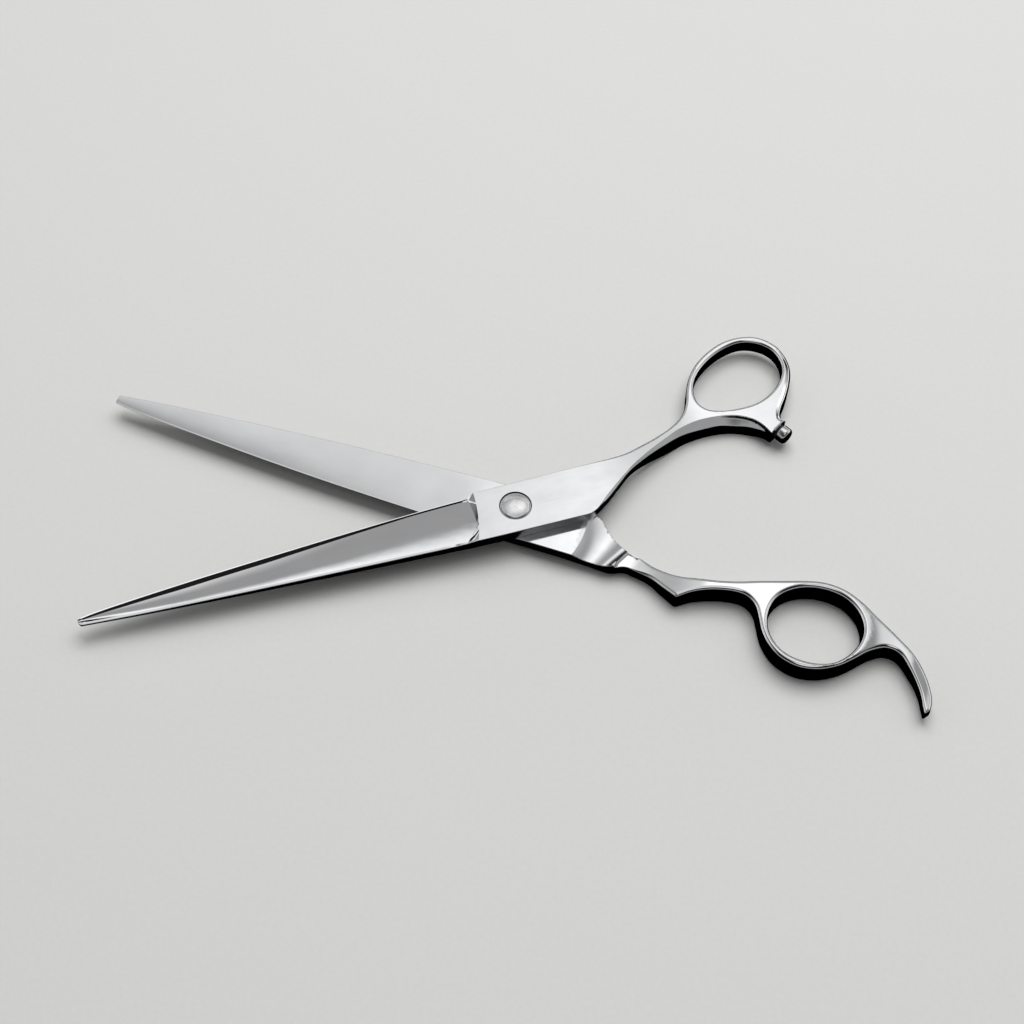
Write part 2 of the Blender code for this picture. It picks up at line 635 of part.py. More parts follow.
def cutter(name, profile, parent=None, count=48):
    look = bpy.data.materials.get("cut_guide") or bpy.data.materials.new("cut_guide")
    made = turned(name, profile, look, count, parent)
    made.hide_render = True
    made.display_type = "WIRE"
    return made


def cut(target, tool):
    step = target.modifiers.new("cut_" + tool.name, "BOOLEAN")
    step.operation = "DIFFERENCE"
    step.solver = "EXACT"
    step.object = tool


def plug(radius, low, high):
    """Profile of a solid cylinder."""
    return [(0.0, high), (radius, high), (radius, low), (0.0, low)]


def pierced_plate(name, outline, holes, low, high, look, parent=None):
    """A flat plate of even thickness with holes through it."""
    loops = [outline] + holes
    points, edges = [], []
    for loop in loops:
        first = len(points)
        points += loop
        edges += [(first + i, first + (i + 1) % len(loop)) for i in range(len(loop))]
    verts, _, faces, *_ = delaunay_2d_cdt([Vector(p) for p in points], edges, [], 0, 1e-4)
    verts = np.array([tuple(v) for v in verts])
    middle = verts[np.array(faces)].mean(1)
    keep = inside_loop(middle, outline)
    for hole in holes:
        keep &= ~inside_loop(middle, hole)
    count = len(verts)
    solid = [(x, y, high) for x, y in verts] + [(x, y, low) for x, y in verts]
    sides, skin = set(), []
    for (a, b, c), kept in zip(faces, keep):
        if kept:
            skin += [(a, b, c), (c + count, b + count, a + count)]
            sides |= {(a, b), (b, c), (c, a)}
    skin += [(b, a, a + count, b + count) for a, b in sorted(sides) if (b, a) not in sides]
    return add_object(name, solid, skin, look, parent)


def ball_mesh_profile():
    steps = 8
    return [(BALL_RADIUS * math.sin(math.pi * i / steps), BALL_RADIUS * math.cos(math.pi * i / steps))
            for i in range(steps + 1)]


def build_finger_blade(frame):
    look = material("finger_blade_steel", (0.72, 0.73, 0.75), 0.16, 1.0)
    half = add_object("finger_blade", *finger_half_shape().solid(), look, frame)
    past = PLATE_THICKNESS + CUTTER_REACH
    click_floor = PLATE_THICKNESS - CLICK_RECESS
    cut(half, cutter("finger_screw_hole", plug(PIVOT_BORE, -CUTTER_REACH, past), frame))
    cut(half, cutter("glide_recess", plug(GLIDE_RADIUS + 0.1, -CUTTER_REACH, GLIDE_RECESS), frame))
    cut(half, cutter("click_recess", plug(CLICK_RADIUS + 0.1, click_floor, past), frame))


def build_thumb_blade(frame):
    look = material("thumb_blade_steel", (0.72, 0.73, 0.75), 0.14, 1.0)
    half = add_object("thumb_blade", *thumb_half_shape().solid(), look, frame)
    past = PLATE_THICKNESS + CUTTER_REACH
    cut(half, cutter("bushing_hole", plug(BUSHING_RADIUS + RUNNING_CLEARANCE, -CUTTER_REACH, past), frame))
    cut(half, cutter("counterbore", plug(COUNTERBORE_RADIUS, COUNTERBORE_FLOOR, past), frame, 64))
    return half


def build_pivot_screw():
    look = material("pivot_screw_steel", (0.78, 0.79, 0.80), 0.10, 1.0)
    face = RIDE_GAP + PLATE_THICKNESS
    under = face - HEAD_RIM
    end = -(RIDE_HEIGHT - DIAL_FLOOR) + 0.1
    dome = []
    steps = 6
    for i in range(steps + 1):
        radius = (HEAD_RADIUS - 0.1) * i / steps
        dome.append((radius, face + HEAD_DOME * (1 - (radius / HEAD_RADIUS) ** 2)))
    profile = dome + [(HEAD_RADIUS, face - 0.05), (HEAD_RADIUS, under), (SHANK_RADIUS, under),
                      (SHANK_RADIUS, end + 0.3), (SHANK_RADIUS - 0.3, end), (0.0, end)]
    screw = turned("pivot_screw", profile, look, 64)
    screw.location = (0, 0, RIDE_HEIGHT * MM)
    return screw


def build_bearing(thumb_frame):
    """Lower race in the thumb half, upper race under the head, and the balls in their cage."""
    race = material("race_steel", (0.62, 0.63, 0.65), 0.22, 1.0)
    brass = material("cage_brass", (0.70, 0.55, 0.25), 0.35, 1.0)
    ball_look = material("ball_steel", (0.80, 0.81, 0.82), 0.08, 1.0)
    inner, outer = SHANK_RADIUS + 0.15, COUNTERBORE_RADIUS - 0.12
    low = COUNTERBORE_FLOOR + SEAT_GAP
    washer("race_lower", inner, outer, low, low + RACE_THICKNESS, race, thumb_frame)
    centre = low + RACE_THICKNESS + SEAT_GAP + BALL_RADIUS
    top = centre + BALL_RADIUS + SEAT_GAP
    upper = washer("race_upper", inner, outer, top, top + RACE_THICKNESS, race)
    upper.location = (0, 0, (RIDE_HEIGHT + RIDE_GAP) * MM)
    bearing = add_empty("bearing_frame", (0, 0, RIDE_HEIGHT + RIDE_GAP + centre), (0, 0, 0))
    spots = circle(BALL_CIRCLE, BALL_COUNT)
    pockets = [circle(BALL_RADIUS + 0.06, 16, spot) for spot in spots]
    pierced_plate("ball_cage", circle(outer - 0.1, 48), pockets + [circle(inner + 0.1, 48)], -0.2, 0.2,
                  brass, bearing)
    for i, (x, y) in enumerate(spots):
        ball = turned(f"ball_{i + 1:02d}", ball_mesh_profile(), ball_look, 12, bearing)
        ball.location = (x * MM, y * MM, 0)


def build_bushing(thumb_frame):
    look = material("bushing_bronze", (0.62, 0.45, 0.25), 0.40, 1.0)
    top = COUNTERBORE_FLOOR - 0.02
    washer("pivot_bushing", PIVOT_BORE, BUSHING_RADIUS, SEAT_GAP, top, look, thumb_frame)


def build_glide_washer():
    look = material("glide_nylon", (0.85, 0.84, 0.80), 0.45, 0.0)
    low, high = -GLIDE_RECESS + SEAT_GAP, RIDE_GAP - SEAT_GAP
    made = washer("glide_washer", PIVOT_BORE, GLIDE_RADIUS, low, high, look)
    made.location = (0, 0, RIDE_HEIGHT * MM)


def build_click_plate():
    """Round plate in the back of the finger half with radial teeth on its lower face."""
    look = material("click_plate_steel", (0.55, 0.56, 0.58), 0.30, 1.0)
    low, high = -PLATE_THICKNESS + 0.02, -PLATE_THICKNESS + CLICK_RECESS - SEAT_GAP

    def tooth(i, radius, height):
        raised = height < low + 0.01 and i % 2
        return radius, height - (TOOTH_HEIGHT if raised else 0.0)

    profile = [(PIVOT_BORE, low), (PIVOT_BORE, high), (CLICK_RADIUS, high), (CLICK_RADIUS, low)]
    made = turned("click_plate", profile, look, 2 * CLICK_TEETH, teeth=tooth)
    made.location = (0, 0, RIDE_HEIGHT * MM)


def build_spring_washer():
    """Conical washer between the finger half and the dial."""
    look = material("spring_steel", (0.50, 0.51, 0.53), 0.32, 1.0)
    inner, outer = SHANK_RADIUS + 0.15, DIAL_CAVITY_RADIUS - 0.15
    high = -PLATE_THICKNESS - DIAL_GAP
    low = high - SPRING_THICKNESS - SPRING_RISE
    profile = [(inner, high - SPRING_THICKNESS), (inner, high)]
    profile += [(outer, low + SPRING_THICKNESS), (outer, low)]
    made = turned("spring_washer", profile, look)
    made.location = (0, 0, RIDE_HEIGHT * MM)


def build_tension_dial():
    """Knurled cap nut at the back, with two blind key holes; its flat end rests on the table."""
    look = material("dial_steel", (0.66, 0.67, 0.69), 0.24, 1.0)
    frame = add_empty("dial_frame", (0, 0, 0), (0, 0, 0))
    top = RIDE_HEIGHT - PLATE_THICKNESS - DIAL_GAP
    cavity = top - DIAL_CAVITY_DEPTH
    chamfer = 0.3

    def knurl(i, radius, height):
        groove = radius > DIAL_RADIUS - 0.01 and i % 2
        return radius - (KNURL_DEPTH if groove else 0.0), height

    profile = [(0.0, DIAL_FLOOR), (PIVOT_BORE, DIAL_FLOOR), (PIVOT_BORE, cavity),
               (DIAL_CAVITY_RADIUS, cavity), (DIAL_CAVITY_RADIUS, top),
               (DIAL_RADIUS - 0.25, top), (DIAL_RADIUS, top - 0.2),
               (DIAL_RADIUS, chamfer), (DIAL_RADIUS - chamfer, 0.0), (0.0, 0.0)]
    dial = turned("tension_dial", profile, look, 2 * DIAL_TEETH, frame, knurl)
    for name, side in (("key_hole_left", -1), ("key_hole_right", 1)):
        key = cutter(name, plug(KEY_HOLE_RADIUS, -CUTTER_REACH, KEY_HOLE_DEPTH), frame, 16)
        key.location = (side * KEY_HOLE_CIRCLE * MM, 0, 0)
        cut(dial, key)


def build_bumper(thumb_frame, thumb_blade):
    """Stop on the lug: a stud in a blind hole, a dark collar and a rounded head."""
    turn = (0, math.pi / 2, math.radians(BUMPER_DIRECTION))
    frame = add_empty("bumper_frame", (*BUMPER_SEAT, BUMPER_HEIGHT), turn, thumb_frame)
    past_lug = 4.0
    bore = STUD_RADIUS + RUNNING_CLEARANCE
    cut(thumb_blade, cutter("stud_hole", plug(bore, -STUD_DEPTH - 0.1, past_lug), frame, 24))
    cut(thumb_blade, cutter("lug_face", plug(6.0, 0.0, past_lug), frame, 32))
    steel = material("bumper_stud_steel", (0.55, 0.56, 0.58), 0.30, 1.0)
    turned("bumper_stud", plug(STUD_RADIUS, -STUD_DEPTH, SOCKET_DEPTH - 0.1), steel, 24, frame)
    rubber = material("bumper_collar_rubber", (0.02, 0.02, 0.022), 0.55, 0.0)
    washer("bumper_collar", bore, BUMPER_RADIUS - 0.35, 0.05, COLLAR_TOP, rubber, frame, 32)
    chrome = material("bumper_head_steel", (0.78, 0.79, 0.80), 0.12, 1.0)
    low, foot = COLLAR_TOP + 0.05, 0.3
    profile = [(0.0, BUMPER_LENGTH)]
    steps = 5
    for i in range(steps + 1):
        rise = math.pi / 2 * (1 - i / steps)
        profile.append((BUMPER_RADIUS - BUMPER_ROUND + BUMPER_ROUND * math.cos(rise),
                        BUMPER_LENGTH - BUMPER_ROUND + BUMPER_ROUND * math.sin(rise)))
    profile += [(BUMPER_RADIUS, low + foot), (BUMPER_RADIUS - foot, low), (bore, low),
                (bore, SOCKET_DEPTH), (0.0, SOCKET_DEPTH)]
    turned("bumper_head", profile, chrome, 32, frame)


def main():
    clear_scene()
    finger_turn = (math.pi, 0, math.radians(FINGER_AZIMUTH))
    finger_frame = add_empty("finger_frame", (0, 0, RIDE_HEIGHT), finger_turn)
    thumb_turn = (0, 0, math.radians(THUMB_AZIMUTH))
    thumb_frame = add_empty("thumb_frame", (0, 0, RIDE_HEIGHT + RIDE_GAP), thumb_turn)
    build_finger_blade(finger_frame)
    thumb_blade = build_thumb_blade(thumb_frame)
    build_pivot_screw()
    build_bearing(thumb_frame)
    build_bushing(thumb_frame)
    build_glide_washer()
    build_click_plate()
    build_spring_washer()
    build_tension_dial()
    build_bumper(thumb_frame, thumb_blade)


main()
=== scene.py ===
"""Looks of the hair cutting shears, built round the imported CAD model.

Both halves are rebuilt from the CAD's own plan curves and height formulas, at a finer step, with exact
normals, a wider band behind the cutting edge and a narrower land along it. The smaller pieces that show
are turned again with finer edges, and the hidden ones keep their CAD solids. Lengths are in millimetres
until a mesh is made.
"""
import math

import bpy
import numpy as np
from mathutils import Matrix, Vector
from mathutils.geometry import delaunay_2d_cdt


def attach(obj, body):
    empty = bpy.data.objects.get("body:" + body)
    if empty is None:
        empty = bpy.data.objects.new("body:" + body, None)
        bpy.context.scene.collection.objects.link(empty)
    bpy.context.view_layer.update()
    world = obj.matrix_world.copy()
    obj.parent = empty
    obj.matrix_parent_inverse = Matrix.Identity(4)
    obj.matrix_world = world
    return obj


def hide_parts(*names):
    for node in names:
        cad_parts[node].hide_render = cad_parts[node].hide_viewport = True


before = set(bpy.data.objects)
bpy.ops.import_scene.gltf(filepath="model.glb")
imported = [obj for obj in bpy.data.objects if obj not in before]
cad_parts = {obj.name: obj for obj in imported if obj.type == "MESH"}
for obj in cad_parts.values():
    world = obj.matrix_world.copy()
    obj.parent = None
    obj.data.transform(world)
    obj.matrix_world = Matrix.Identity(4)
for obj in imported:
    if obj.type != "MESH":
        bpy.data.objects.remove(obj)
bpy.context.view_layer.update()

MM = 0.001
RIDE_HEIGHT = 5.0
RIDE_GAP = 0.1
FINGER_AZIMUTH = -17.85
THUMB_AZIMUTH = 16.05
PLATE_THICKNESS = 3.0
TIP_X = -104.5
BLADE_END_X = -11.5
PLUNGE_X = -8.7
RIDE_END_X = 16.3
TIP_THICKNESS = 1.05
EDGE_LAND = 0.12
BEVEL_WIDTH = 0.42
BEVEL_SLOPE = 0.51
BAND_SLOPE = 0.32
BAND_WIDTH = 1.25
FACE_SINK = 0.22                 # ground face below the blade's full thickness
SPINE_CHAMFER = 0.5
CHAMFER_DROP = 0.28
CHAMFER_FADE = (11.0, 20.0)      # distance from the pivot over which the spine chamfer appears
HOLLOW_DEPTH = 0.16
HOLLOW_FADE = (9.0, 22.0)        # distance from the pivot over which the hollow appears
PLATE_EDGE_RADIUS = 0.15
FINGER_EDGE_RADIUS = 1.0
THUMB_EDGE_RADIUS = 0.75
FLANK_EDGE_RADIUS = 0.2
FLANK_SLOPE = 1.19
FLANK_WIDTH = 2.4
POCKET_DEPTH = 0.55
SPINE_EDGE_RADIUS = 0.12
FACET_WIDTH = 1.35
FACET_SLOPE = 0.5
WEB_SLOPE = 0.26
SCOOP_BOW = 0.022
FINGER_CREST = 1.8
THUMB_CREST = 0.9
RING_LIFT = 1.6
LUG_LIFT = 1.8
FINGER_RING_CENTRE = (74.5, 8.5)
SCOOP_DEPTH = 1.1
SCOOP_STEP = 0.9
STEP_LENGTH = 0.5
WEB_DROP = 0.9
BUMPER_SEAT = (68.9, 5.35)
BUMPER_DIRECTION = -61.0
BUMPER_HEIGHT = -1.2
BUMPER_RADIUS = 2.1
STUD_RADIUS = 0.7
PIVOT_BORE = 1.8
BUSHING_BORE = 2.25
CLICK_RECESS = (4.3, 0.7)        # radius and depth
GLIDE_RECESS = (4.6, 0.35)
COUNTERBORE = (3.75, 2.1)
BORE_REACH = 4.62                # every recess on the pivot lies within this radius
CLEARANCE = 0.05
SHANK_RADIUS = 1.75
HEAD_RADIUS = 3.5
HEAD_RIM = 0.3
HEAD_DOME = 0.45
HEAD_ROLL = 0.4
DIAL_FLOOR = 0.65
SHARP_FOLD = 32.0                # degrees, above which a fold of a turned piece shades sharp
FINE = 0.55                      # step along the plan curves


# Plan curves

def smooth_line(points, step, closed=False):
    """Points about one step apart on a centripetal Catmull-Rom curve through the given points."""
    knots = [Vector(p) for p in points]
    if closed:
        knots = [knots[-1]] + knots + knots[:2]
    else:
        knots = [2 * knots[0] - knots[1]] + knots + [2 * knots[-1] - knots[-2]]
    line = []
    for a, b, c, d in zip(knots, knots[1:], knots[2:], knots[3:]):
        count = max(1, round((c - b).length / step))
        t1 = (b - a).length ** 0.5
        t2 = t1 + (c - b).length ** 0.5
        t3 = t2 + (d - c).length ** 0.5
        for i in range(count):
            t = t1 + (t2 - t1) * i / count
            ab = a * ((t1 - t) / t1) + b * (t / t1)
            bc = b * ((t2 - t) / (t2 - t1)) + c * ((t - t1) / (t2 - t1))
            cd = c * ((t3 - t) / (t3 - t2)) + d * ((t - t2) / (t3 - t2))
            abc = ab * ((t2 - t) / t2) + bc * (t / t2)
            bcd = bc * ((t3 - t) / (t3 - t1)) + cd * ((t - t1) / (t3 - t1))
            line.append(abc * ((t2 - t) / (t2 - t1)) + bcd * ((t - t1) / (t2 - t1)))
    if not closed:
        line.append(knots[-2].copy())
    return [(p.x, p.y) for p in line]


def joined(*lines):
    """One outline from runs that meet end to end."""
    outline = []
    for line in lines:
        outline += [p for p in line if not outline or math.dist(p, outline[-1]) > 0.02]
    if math.dist(outline[0], outline[-1]) < 0.02:
        outline.pop()
    return outline


def circle(radius, count, centre=(0.0, 0.0)):
    turn = 2 * math.pi / count
    return [(centre[0] + radius * math.cos(i * turn), centre[1] + radius * math.sin(i * turn))
            for i in range(count)]


def smoothstep(value, low, high):
    t = np.clip((value - low) / (high - low), 0.0, 1.0)
    return t * t * (3 - 2 * t)


def inside_loop(points, loop):
    points = np.asarray(points, float)
    start = np.asarray(loop, float)
    end = np.roll(start, -1, axis=0)
    x, y = points[:, None, 0], points[:, None, 1]
    spans = (start[None, :, 1] > y) != (end[None, :, 1] > y)
    rise = np.where(end[:, 1] == start[:, 1], 1.0, end[:, 1] - start[:, 1])
    crossing = start[:, 0] + (y - start[:, 1]) * (end[:, 0] - start[:, 0]) / rise
    return (spans & (x < crossing)).sum(1) % 2 == 1


class Rim:
    """The loops round a plan, with distances from them and normals that point into the material."""

    SHARP = math.cos(math.radians(24))

    def __init__(self, outline, hole):
        starts, ends, first, last = [], [], [], []
        self.loops = [np.asarray(outline, float), np.asarray(hole, float)]
        self.vertex = []
        for loop, is_hole in zip(self.loops, (False, True)):
            x, y = loop[:, 0], loop[:, 1]
            area = (x * np.roll(y, -1) - np.roll(x, -1) * y).sum()
            along = np.roll(loop, -1, axis=0) - loop
            along /= np.linalg.norm(along, axis=1)[:, None]
            side = 1 if (area > 0) != is_hole else -1
            normal = side * np.column_stack([-along[:, 1], along[:, 0]])
            before = np.roll(normal, 1, axis=0)
            mean = normal + before
            mean /= np.linalg.norm(mean, axis=1)[:, None]
            sharp = (normal * before).sum(1) < self.SHARP
            at_start = np.where(sharp[:, None], normal, mean)
            at_end = np.where(np.roll(sharp, -1)[:, None], normal, np.roll(mean, -1, axis=0))
            starts.append(loop)
            ends.append(np.roll(loop, -1, axis=0))
            first.append(at_start)
            last.append(at_end)
            self.vertex.append(mean)
        self.start, self.end = np.concatenate(starts), np.concatenate(ends)
        self.first, self.last = np.concatenate(first), np.concatenate(last)

    def measure(self, points):
        """Distance and inward normal at the nearest place of the loops."""
        along = self.end - self.start
        length2 = (along ** 2).sum(1)
        away, normals = [], []
        for block in np.array_split(points, max(1, len(points) // 2000)):
            gap = block[:, None, :] - self.start[None]
            t = np.clip((gap * along).sum(2) / length2, 0.0, 1.0)
            off = gap - t[:, :, None] * along
            d2 = (off ** 2).sum(2)
            best = d2.argmin(1)
            rows = np.arange(len(block))
            away.append(np.sqrt(d2[rows, best]))
            share = t[rows, best][:, None]
            mix = self.first[best] * (1 - share) + self.last[best] * share
            normals.append(mix / np.linalg.norm(mix, axis=1)[:, None])
        return np.concatenate(away), np.concatenate(normals)


class Forging:
    """A half's shape: a plan outline with a ring hole, and heights over it."""

    ROUND_STEPS = (6, 14, 22, 30, 39, 48, 57, 66, 74, 82, 90)
    COARSE_STEPS = (22, 48, 74, 90)    # enough for a rounding under WIDE_ROUNDING
    WIDE_ROUNDING = 0.3
    SHARP_ROUNDING = 0.02          # anything under this is left sharp
    GRID = 1.1
    NUDGE = 0.15                   # normals are taken this share of the way into each triangle
    PROBE = 1e-4
    LIP = 0.14                     # chamfer round the mouth of each recess
    ROUND_SIDES = 96

    def __init__(self, outline, hole, outer, inner, edge_radius, creases, recesses):
        self.rim = Rim(outline, hole)
        self.outer, self.inner = outer, inner
        self.edge_radius = edge_radius
        self.creases = creases
        self.recesses = recesses       # {"outer": [(radius, depth), ...], "inner": [...]}, then the bore

    def rounding_rows(self):
        rows = []
        for loop, normals in zip(self.rim.loops, self.rim.vertex):
            radii = self.edge_radius(loop[:, 0], loop[:, 1])
            for angle in self.ROUND_STEPS:
                share = 1 - math.cos(math.radians(angle))
                wanted = (radii > self.WIDE_ROUNDING) | (angle in self.COARSE_STEPS)
                wanted &= radii > self.SHARP_ROUNDING
                spot = loop + normals * (radii * share)[:, None]
                rows.append(np.column_stack([spot, radii * share])[wanted])
        rows = np.concatenate(rows)
        away, _ = self.rim.measure(rows[:, :2])
        return rows[away > 0.97 * rows[:, 2], :2]

    def grid_points(self):
        low, high = self.rim.loops[0].min(0), self.rim.loops[0].max(0)
        spots = []
        for row, y in enumerate(np.arange(low[1], high[1], self.GRID * 0.87)):
            for x in np.arange(low[0] + (row % 2) * self.GRID / 2, high[0], self.GRID):
                spots.append((x, y))
        spots = np.array(spots)
        spots = spots[inside_loop(spots, self.rim.loops[0])]
        away, _ = self.rim.measure(spots)
        radii = self.edge_radius(spots[:, 0], spots[:, 1])
        return spots[away > 0.3 + radii]

    def plan(self, opening):
        """Triangles of the plan outside a round opening on the pivot."""
        points, edges = [], []
        loops = [list(map(tuple, loop)) for loop in self.rim.loops]
        for loop in loops + [circle(opening, self.ROUND_SIDES)]:
            first = len(points)
            points += loop
            edges += [(first + i, first + (i + 1) % len(loop)) for i in range(len(loop))]
        for crease in self.creases:
            first = len(points)
            points += crease
            edges += [(first + i, first + i + 1) for i in range(len(crease) - 1)]
        fixed = np.array(points)
        loose = np.concatenate([self.rounding_rows(), self.grid_points()])
        loose = loose[np.hypot(loose[:, 0], loose[:, 1]) > opening + 0.2]
        keep = []
        for block in np.array_split(loose, 20):
            gap = ((block[:, None, :] - fixed[None]) ** 2).sum(2).min(1)
            keep.append(gap > 0.03 ** 2)
        loose = loose[np.concatenate(keep)]
        points += [tuple(p) for p in loose]
        verts, _, faces, *_ = delaunay_2d_cdt([Vector(p) for p in points], edges, [], 0, 1e-4)
        verts = np.array([tuple(v) for v in verts])
        faces = np.array([tuple(f) for f in faces if len(f) == 3])
        middle = verts[faces].mean(1)
        keep = inside_loop(middle, self.rim.loops[0]) & ~inside_loop(middle, self.rim.loops[1])
        keep &= np.hypot(middle[:, 0], middle[:, 1]) > opening * math.cos(math.pi / self.ROUND_SIDES)
        return verts, faces[keep]

    def heights(self, points, rule, sign):
        away, _ = self.rim.measure(points)
        radius = np.maximum(self.edge_radius(points[:, 0], points[:, 1]), 1e-6)
        t = np.where(radius < self.SHARP_ROUNDING, 1.0, np.clip(away / radius, 0.0, 1.0))
        fall = radius * (1 - np.sqrt(np.maximum(0.0, 1 - (1 - t) ** 2)))
        return rule(points[:, 0], points[:, 1]) - sign * fall, t

    def skin(self, side):
        """Points, triangles and corner normals of one side."""
        rule, sign = (self.outer, 1) if side == "outer" else (self.inner, -1)
        verts, faces = self.plan(self.recesses[side][0][0] + self.LIP)
        z, t = self.heights(verts, rule, sign)
        corners = verts[faces]
        middle = corners.mean(1)[:, None, :]
        probe = (corners + self.NUDGE * (middle - corners)).reshape(-1, 2)
        x, y = probe[:, 0], probe[:, 1]
        h = self.PROBE
        slope = np.column_stack([(rule(x + h, y) - rule(x - h, y)) / (2 * h),
                                 (rule(x, y + h) - rule(x, y - h)) / (2 * h)])
        _, inward = self.rim.measure(probe)
        tc = t[faces].reshape(-1)
        s = np.sqrt(np.maximum(0.0, 1 - (1 - tc) ** 2))
        flat = -sign * s[:, None] * slope - (1 - tc)[:, None] * inward
        normals = np.column_stack([flat, s]) * [1, 1, sign]
        normals /= np.linalg.norm(normals, axis=1)[:, None]
        points = np.column_stack([verts, z])
        if sign < 0:
            faces = faces[:, ::-1]
            normals = normals.reshape(-1, 3, 3)[:, ::-1].reshape(-1, 3)
        return points, faces, normals

    def body(self):
        """The closed body: points, faces and a normal for every corner."""
        points, faces, normals = [], [], []

        def add(part_points, part_faces, part_normals):
            start = sum(len(p) for p in points)
            points.append(np.asarray(part_points, float))
            for f in part_faces:
                faces.append(tuple(int(i) + start for i in f))
            normals.append(np.asarray(part_normals, float))

        for side in ("outer", "inner"):
            add(*self.skin(side))
        for loop_index, loop in enumerate(self.rim.loops):
            high, _ = self.heights(loop, self.outer, 1)
            low, _ = self.heights(loop, self.inner, -1)
            count = len(loop)
            offset = 0 if loop_index == 0 else len(self.rim.loops[0])
            first = self.rim.first[offset:offset + count]
            last = self.rim.last[offset:offset + count]
            top = np.column_stack([loop, high])
            bottom = np.column_stack([loop, low])
            x, y = loop[:, 0], loop[:, 1]
            area = (x * np.roll(y, -1) - np.roll(x, -1) * y).sum()
            forward = (area > 0) == (loop_index == 0)
            quads, corner = [], []
            for i in range(count):
                j = (i + 1) % count
                a, b = -first[i], -last[i]
                quad = [(i, a), (j, b), (j + count, b), (i + count, a)]
                if forward:
                    quad = quad[::-1]
                quads.append([k for k, _ in quad])
                corner += [(n[0], n[1], 0.0) for _, n in quad]
            add(np.concatenate([top, bottom]), quads, corner)
        levels = {"outer": PLATE_THICKNESS, "inner": 0.0}
        floors = {}
        slant = math.sqrt(0.5)
        for side, sign in (("outer", 1), ("inner", -1)):
            stations = self.recesses[side]
            z = levels[side] - sign * self.LIP
            mouth = stations[0][0]
            add(*self.collar((mouth + self.LIP, levels[side]), (mouth, z), slant, sign * slant))
            for (radius, depth), (next_radius, _) in zip(stations, stations[1:]):
                floor = levels[side] - sign * depth
                add(*self.wall(radius, z, floor))
                add(*self.collar((radius, floor), (next_radius, floor), 0, sign))
                z = floor
            floors[side] = z
        add(*self.wall(self.recesses["outer"][-1][0], floors["outer"], floors["inner"]))
        return np.concatenate(points), faces, np.concatenate(normals)

    def wall(self, radius, z0, z1):
        """Wall of a round hole."""
        return self.collar((radius, max(z0, z1)), (radius, min(z0, z1)), 1, 0)

    def collar(self, first, second, inward, upward):
        """Quads between two (radius, height) circles on the pivot, with normals of one slope."""
        count = self.ROUND_SIDES
        rings = [np.column_stack([circle(radius, count), np.full(count, z)])
                 for radius, z in (first, second)]
        quads, normals = [], []
        for i in range(count):
            j = (i + 1) % count
            quad, ends = (i, j, j + count, i + count), (i, j, j, i)
            quads.append(quad if upward >= 0 else quad[::-1])
            for k in ends if upward >= 0 else ends[::-1]:
                away = rings[1][k][:2] / second[0]
                normals.append((-away[0] * inward, -away[1] * inward, upward))
        return np.concatenate(rings), quads, normals


# Blade geometry shared by the two halves

def blade_width(x, edge_line, spine_line):
    return np.interp(x, *edge_line) - np.interp(x, *spine_line)


def bevel_reach(x, width):
    return np.minimum(BEVEL_WIDTH * np.interp(x, [TIP_X, -60.0, -25.0], [1.0, 0.8, 0.5]), 0.2 * width)


def band_reach(x, width):
    fade = np.interp(x, [TIP_X, -60.0, -25.0], [1.3, 1.3, 0.5])
    return bevel_reach(x, width) + np.minimum(BAND_WIDTH * fade, 0.25 * width)


def chamfer_reach(_, width):
    return width - np.minimum(SPINE_CHAMFER, 0.2 * width)


def ground_thickness(x):
    return np.interp(x, [TIP_X, -90.0, BLADE_END_X], [TIP_THICKNESS, 1.3, PLATE_THICKNESS - 0.15])


def blade_profile(x, y, edge_line, spine_line):
    """Height of the outer face: edge bevel, second band, hollow main face and spine chamfer."""
    width = blade_width(x, edge_line, spine_line)
    reach = np.interp(x, *edge_line) - y
    bevel, band, chamfer = bevel_reach(x, width), band_reach(x, width), chamfer_reach(x, width)
    thick = ground_thickness(x)
    bevel_top = EDGE_LAND + bevel * BEVEL_SLOPE
    band_top = bevel_top + (band - bevel) * BAND_SLOPE
    face_top = thick - FACE_SINK
    drop = CHAMFER_DROP * smoothstep(-x, *CHAMFER_FADE)
    rise = np.clip(reach / bevel, 0, 1)
    height = EDGE_LAND + (bevel_top - EDGE_LAND) * rise
    height += (band_top - bevel_top) * np.clip((reach - bevel) / (band - bevel), 0, 1)
    across = np.clip((reach - band) / (chamfer - band), 0, 1)
    hollow = HOLLOW_DEPTH * np.minimum(1, width / 10) * 4 * across * (1 - across)
    height += (face_top - band_top) * across - hollow
    return height - drop * np.clip((reach - chamfer) / (width - chamfer), 0, 1)


def ride_profile(x, y, edge_line, spine_line):
    width = blade_width(x, edge_line, spine_line)
    reach = np.interp(x, *edge_line) - y
    start = bevel_reach(x, width)
    across = np.clip((reach - start) / (width - start), 0, 1)
    depth = HOLLOW_DEPTH * np.minimum(1, width / 10)
    return depth * 4 * across * (1 - across) * smoothstep(-x, *HOLLOW_FADE)


def blade_creases(edge_line, spine_line):
    """The blade's ridge lines, each at a distance from the cutting edge that a rule gives."""
    rules = [bevel_reach, band_reach, chamfer_reach]

    def face_reach(share):
        """Rule for a line at a share of the way from the band to the chamfer."""
        def rule(x, width):
            band = band_reach(x, width)
            return band + share * (chamfer_reach(x, width) - band)
        return rule

    rules += [face_reach(share) for share in np.linspace(0.12, 0.88, 7)]
    stations = np.linspace(TIP_X + 1.3, BLADE_END_X, 130)
    width = blade_width(stations, edge_line, spine_line)
    edge = np.interp(stations, *edge_line)
    lines = [edge - rule(stations, width) for rule in rules]
    return [[(float(x), float(y)) for x, y in zip(stations, line)] for line in lines]


def plunge_line(y):
    return PLUNGE_X - 0.013 * (6.2 - y) ** 2


